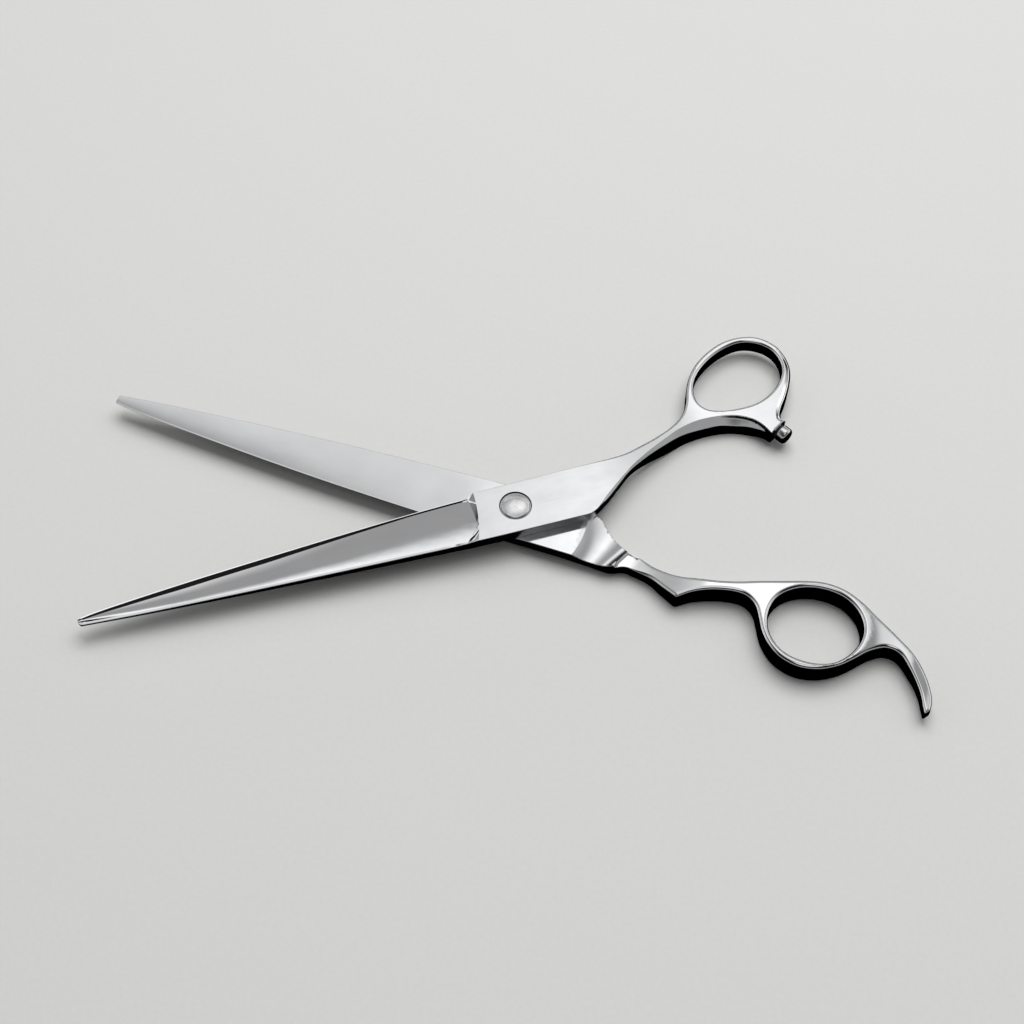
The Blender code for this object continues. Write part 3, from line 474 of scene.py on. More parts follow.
def plunge_depth(y):
    return 0.35 + 0.14 * np.clip(y + 1.5, 0.0, 7.5) + 0.5 * np.clip(-2.0 - y, 0.0, 6.0)


def plunge_share(x, y):
    return np.clip((x - plunge_line(y)) / plunge_depth(y) + 1, 0, 1)


def plunge_creases(top_y, bottom_y):
    ys = np.linspace(top_y, bottom_y, 40)
    return [[(float(plunge_line(y) - share * plunge_depth(y)), float(y)) for y in ys] for share in (0, 1)]


def plate_edge_radius(x, y):
    """Edge rounding of the plate and, smaller, of the blade's spine; the cutting edge has none."""
    plate = PLATE_EDGE_RADIUS * np.clip((x - PLUNGE_X) / 1.5, 0, 1)
    return np.maximum(plate, SPINE_EDGE_RADIUS * np.clip(-y, 0, 1))


def facet_depth(x, y, line, from_x):
    """How far a point lies inside the strip beside a line, for the points past from_x."""
    depth = np.zeros_like(np.asarray(x, float))
    near = np.asarray(x) > from_x
    if near.any():
        points = np.column_stack([np.asarray(x)[near], np.asarray(y)[near]])
        depth[near] = np.clip(FACET_WIDTH - line_distance(points, line), 0.0, None)
    return depth


def line_distance(points, line):
    """Distance from each point to an open line."""
    line = np.asarray(line, float)
    start, along = line[:-1], np.diff(line, axis=0)
    away = []
    for block in np.array_split(points, max(1, len(points) // 4000)):
        gap = block[:, None, :] - start[None]
        t = np.clip((gap * along).sum(2) / (along ** 2).sum(1), 0.0, 1.0)
        away.append(np.sqrt(((gap - t[:, :, None] * along) ** 2).sum(2).min(1)))
    return np.concatenate(away)


def beside(line, distance):
    """The line's own offset, on its right when it runs downwards."""
    line = np.asarray(line, float)
    along = np.gradient(line, axis=0)
    along /= np.linalg.norm(along, axis=1)[:, None]
    moved = line + distance * np.column_stack([along[:, 1], -along[:, 0]])
    return [(float(x), float(y)) for x, y in moved]


def polar_reach(hole, centre):
    """Angle and distance of a ring hole's edge seen from its centre, ready for interpolation."""
    gap = np.asarray(hole) - centre
    angle = np.arctan2(gap[:, 1], gap[:, 0])
    order = np.argsort(angle)
    angle, reach = angle[order], np.hypot(*gap.T)[order]
    turn = 2 * math.pi
    return (np.concatenate([angle[-1:] - turn, angle, angle[:1] + turn]),
            np.concatenate([reach[-1:], reach, reach[:1]]))


def split_line(line):
    xs, ys = zip(*sorted(line))
    return np.array(xs), np.array(ys)


def finger_half_shape():
    edge = smooth_line([(TIP_X + 0.6, 0.0), (-100.3, 0.7), (-80.4, 2.8), (-50.5, 5.3), (-22.4, 6.85),
                        (-10.2, 7.25)], FINE)
    spine = smooth_line([(20.0, -5.0), (10.0, -6.4), (0.0, -6.8), (-20.6, -6.6), (-50.6, -5.7),
                         (-80.4, -4.15), (-100.3, -2.75), (TIP_X + 0.6, -2.3)], FINE)
    tip = smooth_line([(TIP_X + 0.6, -2.3), (TIP_X + 0.45, -2.0), (TIP_X + 0.42, -1.2),
                       (TIP_X + 0.42, -0.3), (TIP_X + 0.6, 0.0)], 0.15)
    plate = smooth_line([(PLUNGE_X, 6.75), (0.0, 6.8), (12.0, 7.0), (20.0, 7.2), (25.5, 7.2), (28.7, 5.9),
                         (30.7, 6.1), (34.9, 7.1), (38.6, 9.0), (42.3, 10.9)], FINE)
    rest_arc = smooth_line([(42.3, 10.9), (45.8, 8.5), (50.2, 6.7), (55.0, 5.7), (57.8, 6.0),
                            (60.2, 7.8), (61.6, 10.5), (63.1, 13.7), (65.3, 16.6), (68.4, 18.9),
                            (73.0, 20.1), (77.8, 19.3), (82.0, 17.0), (84.9, 14.3), (88.0, 11.0),
                            (91.2, 9.0), (94.0, 9.3), (97.3, 12.6), (100.4, 17.0), (101.8, 20.4)], FINE)
    rest_tip = smooth_line([(101.8, 20.4), (102.6, 21.9), (103.7, 20.9)], 0.2)
    back = smooth_line([(103.7, 20.9), (103.5, 17.8), (101.4, 13.2), (97.7, 8.7), (92.6, 4.9), (87.6, 1.8),
                        (83.2, -1.0), (78.9, -2.7), (74.3, -3.1), (70.2, -2.3), (65.2, -0.7), (60.2, 0.9),
                        (55.1, 2.7), (50.2, 4.0), (46.2, 4.6), (41.5, 5.0), (36.5, 4.2), (31.5, 2.5)], FINE)
    block = smooth_line([(28.3, 2.1), (25.1, 0.0), (22.3, -2.4), (20.0, -5.0)], FINE)
    outline = joined(edge, plate, rest_arc, rest_tip, back, block, spine, tip)
    hole = smooth_line([(85.3, 7.2), (84.2, 12.1), (80.5, 16.5), (74.8, 18.1), (69.0, 17.1), (65.0, 13.4),
                        (63.7, 8.6), (64.8, 4.0), (68.4, 0.5), (74.0, -1.2), (79.8, -0.3), (83.8, 3.0)],
                       FINE, closed=True)
    edge_line, spine_line = split_line(edge), split_line(spine)

    def scoop_start(y):
        return 17.3 - 0.09 * y - SCOOP_BOW * (y - 1.8) ** 2

    def scoop_end(y):
        return 29.45 - 0.5 * y

    def step_end(y):
        return scoop_end(y) + STEP_LENGTH

    def outer(x, y):
        handle = PLATE_THICKNESS + (RIDE_HEIGHT - PLATE_THICKNESS) * smoothstep(x, 12.0, 42.0)
        handle = handle - 1.6 * smoothstep(x, 92.0, 104.0)
        ground = blade_profile(x, y, edge_line, spine_line)
        return np.where(x < 0, ground + (handle - ground) * plunge_share(x, y), handle)

    reach_angle, reach_length = polar_reach(hole, FINGER_RING_CENTRE)

    def web_drop(x, y):
        """How far the web beyond the finger ring falls below the crest."""
        gap_x, gap_y = x - FINGER_RING_CENTRE[0], y - FINGER_RING_CENTRE[1]
        away = np.hypot(gap_x, gap_y)
        away = away - np.interp(np.arctan2(gap_y, gap_x), reach_angle, reach_length)
        reach = away - 1.4
        reach = (reach + np.sqrt(reach ** 2 + 0.5)) / 2
        return WEB_DROP * (1 - np.exp(-WEB_SLOPE * reach / WEB_DROP)) * smoothstep(gap_x, 2.0, 9.0)

    def inner(x, y):
        share = np.clip((x - scoop_start(y)) / (scoop_end(y) - scoop_start(y)), 0, 1)
        scoop = SCOOP_DEPTH * 4 * share * (1 - share)
        step = SCOOP_STEP * np.clip((x - scoop_end(y)) / (step_end(y) - scoop_end(y)), 0, 1)
        crest = (FINGER_CREST + SCOOP_STEP) * smoothstep(x, 29.5, 50.0)
        crest = crest - 0.9 * smoothstep(x, 96.0, 104.0) - web_drop(x, y)
        return np.where(x < 0, ride_profile(x, y, edge_line, spine_line), scoop + step - crest)

    def edge_radius(x, y):
        radius = plate_edge_radius(x, y)
        radius = radius + (FINGER_EDGE_RADIUS - PLATE_EDGE_RADIUS) * smoothstep(x, 28.5, 36.0)
        return radius - 0.25 * smoothstep(x, 94.0, 101.0)

    creases = blade_creases(edge_line, spine_line) + plunge_creases(6.3, -6.2)
    for share in np.linspace(0.0, 0.9, 10):
        ys = np.linspace(-3.4 if share < 0.45 else -2.3 + 2.4 * share, 6.5 - share, 16)
        creases.append([(float(scoop_start(y) + share * (scoop_end(y) - scoop_start(y))), float(y))
                        for y in ys])
    ys = np.linspace(2.6, 5.6, 8)
    for line in (scoop_end, step_end):
        creases.append([(float(line(y)), float(y)) for y in ys])
    recesses = {"outer": [CLICK_RECESS, (PIVOT_BORE, 0.0)], "inner": [GLIDE_RECESS, (PIVOT_BORE, 0.0)]}
    return Forging(outline, hole, outer, inner, edge_radius, creases, recesses)


def thumb_half_shape():
    edge = smooth_line([(TIP_X + 0.6, 0.2), (-100.2, 0.8), (-80.0, 2.7), (-49.6, 4.8), (-21.2, 6.4),
                        (-10.2, 6.75)], FINE)
    spine = smooth_line([(14.5, -7.0), (5.0, -7.0), (-9.2, -6.9), (-29.4, -6.1), (-49.6, -5.2),
                         (-70.0, -4.2), (-90.0, -3.1), (TIP_X + 0.6, -2.1)], FINE)
    tip = smooth_line([(TIP_X + 0.6, -2.1), (TIP_X + 0.3, -1.7), (TIP_X + 0.05, -0.7), (TIP_X + 0.15, 0.0),
                       (TIP_X + 0.6, 0.2)], 0.15)
    plate = smooth_line([(PLUNGE_X, 6.2), (0.0, 6.3), (12.0, 6.4), (20.6, 6.55), (26.0, 6.8), (30.0, 7.4),
                         (34.0, 8.7), (38.5, 10.3), (43.0, 12.3), (46.8, 15.0), (49.0, 18.3), (50.4, 21.8),
                         (52.3, 25.4), (55.2, 28.8), (59.2, 31.6), (64.0, 33.6), (68.9, 33.9), (73.0, 32.7),
                         (76.0, 29.9), (77.9, 26.0), (77.9, 21.5), (76.1, 17.1), (73.8, 13.5), (71.7, 10.8),
                         (70.65, 8.9), (70.3, 7.5), (70.87, 6.44)], FINE)
    lug_left = smooth_line([(66.36, 3.95), (65.0, 5.8), (63.3, 7.6), (61.0, 9.1), (57.0, 10.4),
                            (52.0, 10.8), (46.0, 10.1), (39.6, 7.65), (33.6, 4.75), (29.4, 2.3),
                            (25.3, -1.0), (21.6, -4.0), (18.2, -6.3)], FINE)
    crest = smooth_line([(18.6, -5.95), (21.3, -3.5), (25.1, -0.4), (27.5, 1.45), (30.0, 3.35),
                         (35.0, 6.4), (40.0, 9.0), (45.0, 11.3), (50.0, 12.5), (55.0, 12.4),
                         (58.5, 11.8), (61.5, 10.6), (64.0, 8.7), (65.4, 6.6), (66.35, 4.2)], FINE)
    side = smooth_line([(78.0, 27.5), (77.9, 21.5), (76.1, 17.1), (73.8, 13.5), (71.7, 10.8), (70.65, 8.9),
                        (70.3, 7.5)], FINE)
    corner = smooth_line([(18.2, -6.3), (16.6, -6.95), (14.5, -7.0)], 0.3)
    outline = joined(edge, plate, lug_left, corner, spine, tip)
    hole = smooth_line([(76.0, 24.2), (74.9, 28.2), (72.0, 31.0), (68.3, 32.2), (63.5, 31.4), (58.2, 28.8),
                        (54.3, 25.4), (52.3, 21.7), (52.0, 18.0), (53.5, 15.4), (56.7, 13.9), (61.0, 13.3),
                        (66.0, 13.6), (70.3, 15.4), (73.4, 18.0), (75.4, 21.0)], FINE, closed=True)
    edge_line, spine_line = split_line(edge), split_line(spine)
    table = -(RIDE_HEIGHT + RIDE_GAP)

    crest_x, crest_y = split_line(crest)
    crest_slope = np.gradient(crest_y, crest_x)

    def below_crest(x, y):
        """Distance past the crest line of the shank, towards the spine side."""
        return (np.interp(x, crest_x, crest_y) - y) / np.sqrt(1 + np.interp(x, crest_x, crest_slope) ** 2)

    def outer(x, y):
        handle = PLATE_THICKNESS - (PLATE_THICKNESS - THUMB_CREST) * smoothstep(x, 20.0, 52.0)
        below = np.clip(below_crest(x, y), 0.0, FLANK_WIDTH) * smoothstep(x, 17.6, 20.5)
        pocket = smoothstep(x, 54.0, 60.0)
        handle = handle - FLANK_SLOPE * below - POCKET_DEPTH * smoothstep(below, 0.0, 0.5) * pocket
        handle = handle - FACET_SLOPE * facet_depth(x, y, side, 66.0)
        ground = blade_profile(x, y, edge_line, spine_line)
        return np.where(x < 0, ground + (handle - ground) * plunge_share(x, y), handle)

    def inner(x, y):
        drop = table * smoothstep(np.hypot(x, y), 27.0, 46.0)
        drop = drop + RING_LIFT * smoothstep(y, 14.0, 26.0) * (x > 40)
        lug = np.hypot(x - BUMPER_SEAT[0], y - BUMPER_SEAT[1])
        drop = drop + LUG_LIFT * (1 - smoothstep(lug, 2.0, 8.0))
        return np.where(x < 0, ride_profile(x, y, edge_line, spine_line), drop)

    def edge_radius(x, y):
        radius = plate_edge_radius(x, y)
        radius = radius + (THUMB_EDGE_RADIUS - PLATE_EDGE_RADIUS) * smoothstep(x, 14.0, 36.0)
        crisp = smoothstep(below_crest(x, y), -1.3, -0.6)
        radius = radius - (THUMB_EDGE_RADIUS - FLANK_EDGE_RADIUS) * crisp
        radius = np.maximum(radius, plate_edge_radius(x, y))
        end = (x - BUMPER_SEAT[0]) * math.cos(math.radians(BUMPER_DIRECTION))
        end = end + (y - BUMPER_SEAT[1]) * math.sin(math.radians(BUMPER_DIRECTION))
        return radius * (1 - 0.8 * smoothstep(end, -2.5, -0.3) * (x > 60))

    creases = blade_creases(edge_line, spine_line) + plunge_creases(5.8, -6.5)
    creases += [crest, beside(side, FACET_WIDTH)]
    creases += [[p for p in beside(crest, step) if p[0] > 53.0] for step in (0.25, 0.5)]
    recesses = {"outer": [COUNTERBORE, (BUSHING_BORE, 0.0)], "inner": [(BUSHING_BORE, 0.0)]}
    return Forging(outline, hole, outer, inner, edge_radius, creases, recesses)


# Meshes

def half_matrix(height, azimuth, flipped):
    place = Matrix.Translation((0, 0, height)) @ Matrix.Rotation(math.radians(azimuth), 4, "Z")
    return place @ Matrix.Rotation(math.pi, 4, "X") if flipped else place


FINGER_PLACE = half_matrix(RIDE_HEIGHT, FINGER_AZIMUTH, True)
THUMB_PLACE = half_matrix(RIDE_HEIGHT + RIDE_GAP, THUMB_AZIMUTH, False)


def make_piece(name, points, faces, looks, place, rides, nodes):
    """A piece whose points, in millimetres, are put in the frame of the CAD by a matrix."""
    turn = np.array(place.to_3x3())
    points = np.asarray(points, float) @ turn.T + np.array(place.translation)
    mesh = bpy.data.meshes.new(name)
    mesh.from_pydata((points * MM).tolist(), [], faces)
    for look in looks:
        mesh.materials.append(look)
    mesh.shade_smooth()
    made = bpy.data.objects.new(name, mesh)
    bpy.context.scene.collection.objects.link(made)
    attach(made, rides)
    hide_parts(*nodes)
    return made


def forged_piece(name, forging, looks, place, rides, node):
    """A half: its ground blade takes the first look, its bores the third, a near-black painted shade, and
    the rest the second.
    """
    points, faces, normals = forging.body()
    made = make_piece(name, points, faces, looks, place, rides, [node])
    middle = np.array([points[list(f)].mean(0) for f in faces])
    ride = (middle[:, 2] < 0.15) & (middle[:, 0] < RIDE_END_X)
    region = ((middle[:, 0] > plunge_line(middle[:, 1])) & ~ride).astype(int)
    inside = (middle[:, 2] > 0.02) & (middle[:, 2] < PLATE_THICKNESS - 0.02)
    # the walls and floors of the recesses round the pivot take the third look: painted shade, near-black
    # steel
    region[inside & (np.hypot(middle[:, 0], middle[:, 1]) < BORE_REACH)] = 2
    made.data.polygons.foreach_set("material_index", region)
    turned_normals = normals @ np.array(place.to_3x3()).T
    made.data.normals_split_custom_set(turned_normals.tolist())
    return made


def arc(centre, radius, start, end, steps):
    """Points of a profile along an arc, in degrees from the outward direction."""
    angles = [math.radians(start + (end - start) * i / steps) for i in range(steps + 1)]
    return [(centre[0] + radius * math.cos(a), centre[1] + radius * math.sin(a)) for a in angles]


def spun(profile, count):
    """Points and faces of a closed (radius, height) profile turned round z."""
    points, faces, rings = [], [], []
    for radius, height in profile:
        if radius < 1e-6:
            rings.append([len(points)] * count)
            points.append((0.0, 0.0, height))
            continue
        rings.append(list(range(len(points), len(points) + count)))
        for i in range(count):
            turn = 2 * math.pi * i / count
            points.append((radius * math.cos(turn), radius * math.sin(turn), height))
    pairs = list(zip(rings, rings[1:]))
    if profile[0][0] > 1e-6:
        pairs.append((rings[-1], rings[0]))
    for one, two in pairs:
        for i in range(count):
            j = (i + 1) % count
            corners = [one[i], one[j], two[j], two[i]]
            face = [c for k, c in enumerate(corners) if c not in corners[:k]]
            if len(face) > 2:
                faces.append(tuple(face))
    return points, faces


def turned_piece(name, profile, count, look, place, rides, node):
    points, faces = spun(profile, count)
    made = make_piece(name, points, faces, [look], place, rides, [node])
    made.data.set_sharp_from_angle(angle=math.radians(SHARP_FOLD))
    return made


# Materials

class Look:
    """A node material: a Principled shader and short ways to feed it."""

    def __init__(self, name, colour, roughness, metallic=1.0):
        self.material = bpy.data.materials.new(name)
        self.material.use_nodes = True
        self.tree = self.material.node_tree
        self.shader = self.tree.nodes["Principled BSDF"]
        self.shader.inputs["Base Color"].default_value = (*colour, 1)
        self.shader.inputs["Roughness"].default_value = roughness
        self.shader.inputs["Metallic"].default_value = metallic
        self.where = self.tree.nodes.new("ShaderNodeTexCoord").outputs["Object"]

    def feed(self, socket, value):
        if isinstance(value, (int, float)):
            socket.default_value = value
        elif isinstance(value, tuple):
            socket.default_value = (*value, 1) if len(value) == 3 else value
        else:
            self.tree.links.new(value, socket)

    def turned(self, azimuth):
        """Object coordinates turned so that x runs along a half."""
        node = self.tree.nodes.new("ShaderNodeMapping")
        node.inputs["Rotation"].default_value = (0, 0, -math.radians(azimuth))
        self.tree.links.new(self.where, node.inputs["Vector"])
        return node.outputs[0]

    def noise(self, coordinates, scale, detail=4.0, rough=0.55):
        """Noise whose features are 1/scale metres long along each axis."""
        node = self.tree.nodes.new("ShaderNodeMapping")
        node.inputs["Scale"].default_value = scale
        self.tree.links.new(coordinates, node.inputs["Vector"])
        made = self.tree.nodes.new("ShaderNodeTexNoise")
        made.inputs["Scale"].default_value = 1.0
        made.inputs["Detail"].default_value = detail
        made.inputs["Roughness"].default_value = rough
        self.tree.links.new(node.outputs[0], made.inputs["Vector"])
        return made.outputs["Fac"]

    def ramp(self, value, low, high, to_low, to_high, smooth=False):
        node = self.tree.nodes.new("ShaderNodeMapRange")
        if smooth:
            node.interpolation_type = "SMOOTHSTEP"
        for key, number in zip(("From Min", "From Max", "To Min", "To Max"), (low, high, to_low, to_high)):
            self.feed(node.inputs[key], number)
        self.feed(node.inputs["Value"], value)
        return node.outputs["Result"]

    def maths(self, kind, a, b):
        node = self.tree.nodes.new("ShaderNodeMath")
        node.operation = kind
        self.feed(node.inputs[0], a)
        self.feed(node.inputs[1], b)
        return node.outputs[0]

    def mix(self, share, low, high):
        node = self.tree.nodes.new("ShaderNodeMix")
        node.data_type = "RGBA"
        self.feed(node.inputs[0], share)
        self.feed(node.inputs[6], low)
        self.feed(node.inputs[7], high)
        return node.outputs[2]

    def bump(self, height, depth, below=None):
        node = self.tree.nodes.new("ShaderNodeBump")
        node.inputs["Strength"].default_value = 1.0
        node.inputs["Distance"].default_value = depth
        self.feed(node.inputs["Height"], height)
        if below is not None:
            self.tree.links.new(below, node.inputs["Normal"])
        return node.outputs[0]

    def use(self, key, value):
        self.feed(self.shader.inputs[key], value)


STEEL = (0.80, 0.805, 0.815)
STEEL_WORN = (0.72, 0.725, 0.735)
RUBBER = (0.018, 0.018, 0.02)
RUBBER_DUSTY = (0.05, 0.05, 0.052)


def steel_look(name, azimuth, rough_low, rough_high, grain, shine_from=None):
    """Stainless steel with a grain along the half, cloudy polish and sparse fine scratches.

    grain is the depth of the grain in metres. shine_from, if given, is the distance from the pivot, in
    metres, past which the surface is polished instead.
    """
    look = Look(name, STEEL, rough_high)
    along = look.turned(azimuth)
    streaks = look.noise(along, (220.0, 6500.0, 6500.0), 3.0)
    cloud = look.noise(along, (90.0, 160.0, 160.0), 5.0)
    scratch = look.noise(along, (45.0, 2600.0, 2600.0), 6.0, 0.7)
    scratch = look.ramp(scratch, 0.66, 0.74, 0.0, 1.0, True)
    roughness = look.ramp(look.maths("MULTIPLY", streaks, cloud), 0.12, 0.36, rough_low, rough_high)
    height = streaks
    if shine_from:
        split = look.tree.nodes.new("ShaderNodeSeparateXYZ")
        look.tree.links.new(along, split.inputs[0])
        satin = look.ramp(split.outputs[0], shine_from, shine_from + 0.016, 1.0, 0.0, True)
        polished = look.ramp(cloud, 0.3, 0.7, 0.045, 0.10)
        mixed = look.tree.nodes.new("ShaderNodeMix")
        look.feed(mixed.inputs[0], satin)
        look.feed(mixed.inputs[2], polished)
        look.feed(mixed.inputs[3], roughness)
        roughness = mixed.outputs[0]
        height = look.maths("MULTIPLY", streaks, satin)
    roughness = look.maths("ADD", roughness, look.maths("MULTIPLY", scratch, 0.10))
    look.use("Roughness", roughness)
    look.use("Base Color", look.mix(look.ramp(cloud, 0.35, 0.75, 0.0, 0.6), STEEL, STEEL_WORN))
    wave = look.bump(look.noise(look.where, (140.0, 140.0, 140.0), 2.0), 0.000018)
    look.use("Normal", look.bump(height, grain, wave))
    return look.material


def turned_metal(name, colour, worn, rough_low, rough_high, metallic=1.0, ring=0.0000012):
    """Metal or plastic off a lathe: fine rings round the pivot, and cloudy wear."""
    look = Look(name, colour, rough_high, metallic)
    cloud = look.noise(look.where, (600.0, 600.0, 600.0), 5.0)
    fine = look.noise(look.where, (3200.0, 3200.0, 3200.0), 3.0)
    length = look.tree.nodes.new("ShaderNodeVectorMath")
    length.operation = "LENGTH"
    flat = look.tree.nodes.new("ShaderNodeMapping")
    flat.inputs["Scale"].default_value = (1, 1, 0)
    look.tree.links.new(look.where, flat.inputs["Vector"])
    look.tree.links.new(flat.outputs[0], length.inputs[0])
    rings = look.maths("SINE", look.maths("MULTIPLY", length.outputs["Value"], 90000.0), 0.0)
    look.use("Roughness", look.ramp(cloud, 0.3, 0.7, rough_low, rough_high))
    look.use("Base Color", look.mix(look.ramp(fine, 0.4, 0.75, 0.0, 0.7), colour, worn))
    look.use("Normal", look.bump(rings, ring, look.bump(cloud, 0.000004)))
    return look.material


def rubber_look():
    look = Look("collar_rubber", RUBBER, 0.5, 0.0)
    dust = look.noise(look.where, (4200.0, 4200.0, 4200.0), 4.0)
    look.use("Roughness", look.ramp(dust, 0.3, 0.7, 0.42, 0.68))
    look.use("Base Color", look.mix(look.ramp(dust, 0.5, 0.8, 0.0, 1.0), RUBBER, RUBBER_DUSTY))
    look.use("Normal", look.bump(dust, 0.00001))
    return look.material


# Pieces

def make_halves():
    finger_blade = steel_look("finger_blade_ground", FINGER_AZIMUTH, 0.10, 0.14, 0.0000005)
    finger_body = steel_look("finger_half_forged", FINGER_AZIMUTH, 0.19, 0.24, 0.0000008, 0.016)
    thumb_blade = steel_look("thumb_blade_ground", THUMB_AZIMUTH, 0.035, 0.075, 0.0000003)
    thumb_body = steel_look("thumb_half_forged", THUMB_AZIMUTH, 0.19, 0.24, 0.0000008, 0.024)
    # near-black steel for the bores: painted shade in the recesses and the gap round the screw head
    painted_shade_bores = turned_metal("bore_painted_shade", (0.06, 0.06, 0.065), (0.03, 0.03, 0.03), 0.30, 0.45)
    forged_piece("finger_half_finish", finger_half_shape(), [finger_blade, finger_body, painted_shade_bores],
                 FINGER_PLACE, "finger_half", "finger_blade")
    forged_piece("thumb_half_finish", thumb_half_shape(), [thumb_blade, thumb_body, painted_shade_bores],
                 THUMB_PLACE, "thumb_half", "thumb_blade")


def make_pivot_screw():
    """The domed head with a rolled rim, and the shank that goes down to the dial."""
    look = turned_metal("pivot_screw_polish", (0.80, 0.80, 0.81), (0.70, 0.70, 0.71), 0.07, 0.15)
    face = PLATE_THICKNESS + RIDE_GAP
    under = face - HEAD_RIM
    end = DIAL_FLOOR + 0.1 - RIDE_HEIGHT
    dome = []
    steps = 22
    for i in range(steps + 1):
        radius = (HEAD_RADIUS - HEAD_ROLL) * i / steps
        dome.append((radius, face + HEAD_DOME * (1 - (radius / HEAD_RADIUS) ** 2.6)))
    roll = arc((HEAD_RADIUS - HEAD_ROLL, dome[-1][1] - HEAD_ROLL), HEAD_ROLL, 78, 0, 7)
    profile = dome + roll + [(HEAD_RADIUS, under), (SHANK_RADIUS, under), (SHANK_RADIUS, end + 0.3),
                             (SHANK_RADIUS - 0.3, end), (0.0, end)]
    turned_piece("pivot_screw_finish", profile, 128, look, Matrix.Translation((0, 0, RIDE_HEIGHT)),
                 "finger_half", "pivot_screw")


def make_bumper():
    """The stop's collar and its polished head, on the lug of the thumb half."""
    turn = Matrix.Rotation(math.radians(BUMPER_DIRECTION), 4, "Z") @ Matrix.Rotation(math.pi / 2, 4, "Y")
    place = THUMB_PLACE @ Matrix.Translation((*BUMPER_SEAT, BUMPER_HEIGHT)) @ turn
    bore = STUD_RADIUS + CLEARANCE
    wide = BUMPER_RADIUS - 0.35
    lip = 0.12
    collar = [(bore, 0.05), (bore, 0.5), (wide - lip, 0.5), (wide, 0.5 - lip), (wide, 0.05 + lip),
              (wide - lip, 0.05)]
    turned_piece("bumper_collar_finish", collar, 64, rubber_look(), place, "thumb_half",
                 "bumper_collar")
    look = turned_metal("bumper_polish", (0.80, 0.80, 0.81), (0.70, 0.70, 0.71), 0.05, 0.12)
    low, high, roll, foot = 0.55, 3.0, 0.85, 0.3
    profile = [(0.0, high)]
    profile += arc((BUMPER_RADIUS - roll, high - roll), roll, 90, 0, 12)
    profile += arc((BUMPER_RADIUS - foot, low + foot), foot, 0, -90, 6)
    profile += [(bore, low), (bore, 1.6), (0.0, 1.6)]
    turned_piece("bumper_head_finish", profile, 96, look, place, "thumb_half",
                 "bumper_head")


def finish_cad_nodes():
    """Procedural looks for the small solids of the bearing stack, which keep their CAD shapes."""
    race = turned_metal("race_ground", (0.66, 0.67, 0.69), (0.52, 0.53, 0.55), 0.12, 0.26)
    brass = turned_metal("cage_brass_worn", (0.72, 0.53, 0.22), (0.48, 0.33, 0.13), 0.22, 0.42)
    balls = turned_metal("ball_polish", (0.82, 0.82, 0.83), (0.74, 0.74, 0.75), 0.03, 0.08)
    bronze = turned_metal("bushing_bronze_oiled", (0.58, 0.39, 0.20), (0.36, 0.23, 0.12), 0.28, 0.50)
    nylon = turned_metal("glide_nylon_matt", (0.80, 0.79, 0.74), (0.66, 0.65, 0.60), 0.40, 0.58, 0.0)
    click = turned_metal("click_plate_ground", (0.56, 0.57, 0.59), (0.40, 0.41, 0.43), 0.22, 0.40)
    spring = turned_metal("spring_steel_blued", (0.36, 0.38, 0.43), (0.24, 0.26, 0.31), 0.22, 0.40)
    stud = turned_metal("stud_ground", (0.60, 0.61, 0.63), (0.45, 0.46, 0.48), 0.20, 0.36)
    dial = turned_metal("dial_turned", (0.70, 0.71, 0.73), (0.55, 0.56, 0.58), 0.14, 0.30)
    looks = {"race_lower": race, "race_upper": race, "ball_cage": brass, "pivot_bushing": bronze,
             "glide_washer": nylon, "click_plate": click, "spring_washer": spring, "bumper_stud": stud,
             "tension_dial": dial}
    for name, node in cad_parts.items():
        look = balls if name.startswith("ball_") and name != "ball_cage" else looks.get(name)
        if look is None:
            continue
        node.data.materials.clear()
        node.data.materials.append(look)


make_halves()
make_pivot_screw()
make_bumper()
finish_cad_nodes()


# Stage

def make_floor():
    mesh = bpy.data.meshes.new("floor")
    size = 3.0
    corners = [(-size, -size, 0), (size, -size, 0), (size, size, 0), (-size, size, 0)]
    mesh.from_pydata(corners, [], [(0, 1, 2, 3)])
    floor = bpy.data.objects.new("floor", mesh)
    bpy.context.scene.collection.objects.link(floor)
    look = Look("floor_paper", (0.70, 0.70, 0.69), 0.9, 0.0)
    fibre = look.noise(look.where, (900.0, 900.0, 900.0), 3.0)
    tone = look.ramp(fibre, 0.3, 0.7, 0.0, 1.0)
    look.use("Base Color", look.mix(tone, (0.69, 0.69, 0.68), (0.71, 0.71, 0.70)))
    mesh.materials.append(look.material)
    floor.visible_glossy = False


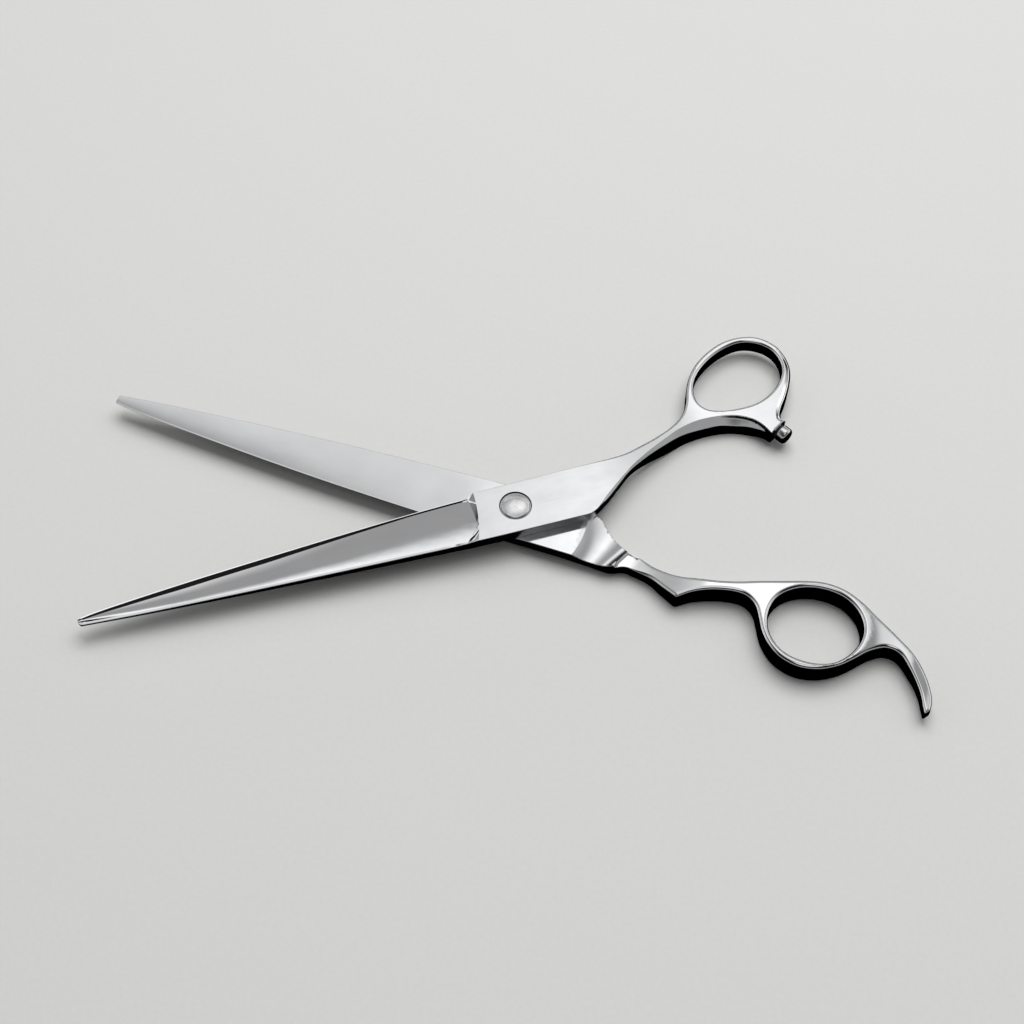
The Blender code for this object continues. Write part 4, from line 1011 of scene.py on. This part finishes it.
class Sky:
    """World light built from soft patches, each a fade between two angles round a direction."""

    def __init__(self):
        world = bpy.data.worlds.new("studio")
        bpy.context.scene.world = world
        world.use_nodes = True
        self.tree = world.node_tree
        self.tree.nodes.clear()
        self.out = self.tree.nodes.new("ShaderNodeOutputWorld")
        self.back = self.tree.nodes.new("ShaderNodeBackground")
        self.where = self.tree.nodes.new("ShaderNodeTexCoord").outputs["Generated"]
        split = self.tree.nodes.new("ShaderNodeSeparateXYZ")
        self.tree.links.new(self.where, split.inputs[0])
        self.x, self.y, self.z = split.outputs
        self.total = None

    def add(self, value):
        if self.total is None:
            self.total = value
            return
        node = self.tree.nodes.new("ShaderNodeMath")
        self.tree.links.new(self.total, node.inputs[0])
        self.tree.links.new(value, node.inputs[1])
        self.total = node.outputs[0]

    def fade(self, value, start, end, top=1.0):
        node = self.tree.nodes.new("ShaderNodeMapRange")
        node.interpolation_type = "SMOOTHSTEP"
        node.inputs["From Min"].default_value = start
        node.inputs["From Max"].default_value = end
        node.inputs["To Max"].default_value = top
        self.tree.links.new(value, node.inputs["Value"])
        return node.outputs["Result"]

    def times(self, *values):
        total = values[0]
        for value in values[1:]:
            node = self.tree.nodes.new("ShaderNodeMath")
            node.operation = "MULTIPLY"
            self.tree.links.new(total, node.inputs[0])
            self.tree.links.new(value, node.inputs[1])
            total = node.outputs[0]
        return total

    def patch(self, elevation, azimuth, inside, outside, strength):
        e, a = math.radians(elevation), math.radians(azimuth)
        node = self.tree.nodes.new("ShaderNodeVectorMath")
        node.operation = "DOT_PRODUCT"
        node.inputs[1].default_value = (math.cos(e) * math.cos(a), math.cos(e) * math.sin(a), math.sin(e))
        self.tree.links.new(self.where, node.inputs[0])
        self.add(self.fade(node.outputs["Value"], math.cos(math.radians(outside)),
                           math.cos(math.radians(inside)), strength))

    def strip(self, low, high, soft, side, strength):
        """A low band between two elevations on the side where y has the given sign."""
        def rise(degrees):
            return math.sin(math.radians(degrees))
        self.add(self.times(self.fade(self.z, rise(low - soft), rise(low + soft)),
                            self.fade(self.z, rise(high + soft), rise(high - soft)),
                            self.fade(self.y, side * -0.2, side * 0.2, strength)))

    def finish(self, base):
        self.add(self.fade(self.z, -0.08, 0.06, base))
        self.tree.links.new(self.total, self.back.inputs["Strength"])
        self.tree.links.new(self.back.outputs[0], self.out.inputs[0])


def make_world():
    """A dark studio with an overhead box, a wide one behind, side panels and two low strips."""
    sky = Sky()
    sky.patch(70, 98, 9, 24, 0.54)
    sky.patch(54, 112, 17, 26, 0.45)
    sky.patch(56, 66, 9, 17, 0.66)
    sky.patch(90, 0, 12, 26, 0.36)
    sky.patch(68, -90, 10, 17, 1.0)
    sky.patch(28, 8, 8, 34, 0.44)
    sky.patch(28, 172, 8, 34, 0.42)
    sky.patch(50, 35, 14, 34, 0.38)
    sky.strip(28.5, 36.5, 2.5, 1, 1.1)
    sky.strip(5, 25, 3, -1, 0.45)
    sky.strip(0.5, 12, 2, 1, 1.5)
    sky.finish(0.015)


def make_lights():
    """A soft box that lights the floor and isn't seen in the steel."""
    data = bpy.data.lights.new("overhead", "AREA")
    data.shape = "RECTANGLE"
    data.size, data.size_y = 0.9, 0.7
    data.energy = 7.2
    light = bpy.data.objects.new("overhead", data)
    bpy.context.scene.collection.objects.link(light)
    light.location = (0.15, 0.35, 0.9)
    light.rotation_euler = (Vector((0, 0, 0)) - light.location).to_track_quat("-Z", "Y").to_euler()
    light.visible_glossy = False


def make_camera():
    data = bpy.data.cameras.new("camera")
    data.lens = 60.38
    data.sensor_width = 36.0
    data.clip_start = 0.01
    camera = bpy.data.objects.new("camera", data)
    bpy.context.scene.collection.objects.link(camera)
    camera.location = (-0.000827, -0.21350, 0.35356)
    camera.rotation_euler = (math.radians(31.5), 0, 0)
    bpy.context.scene.camera = camera


make_floor()
make_world()
make_lights()
make_camera()
bpy.context.scene.view_settings.view_transform = "Standard"
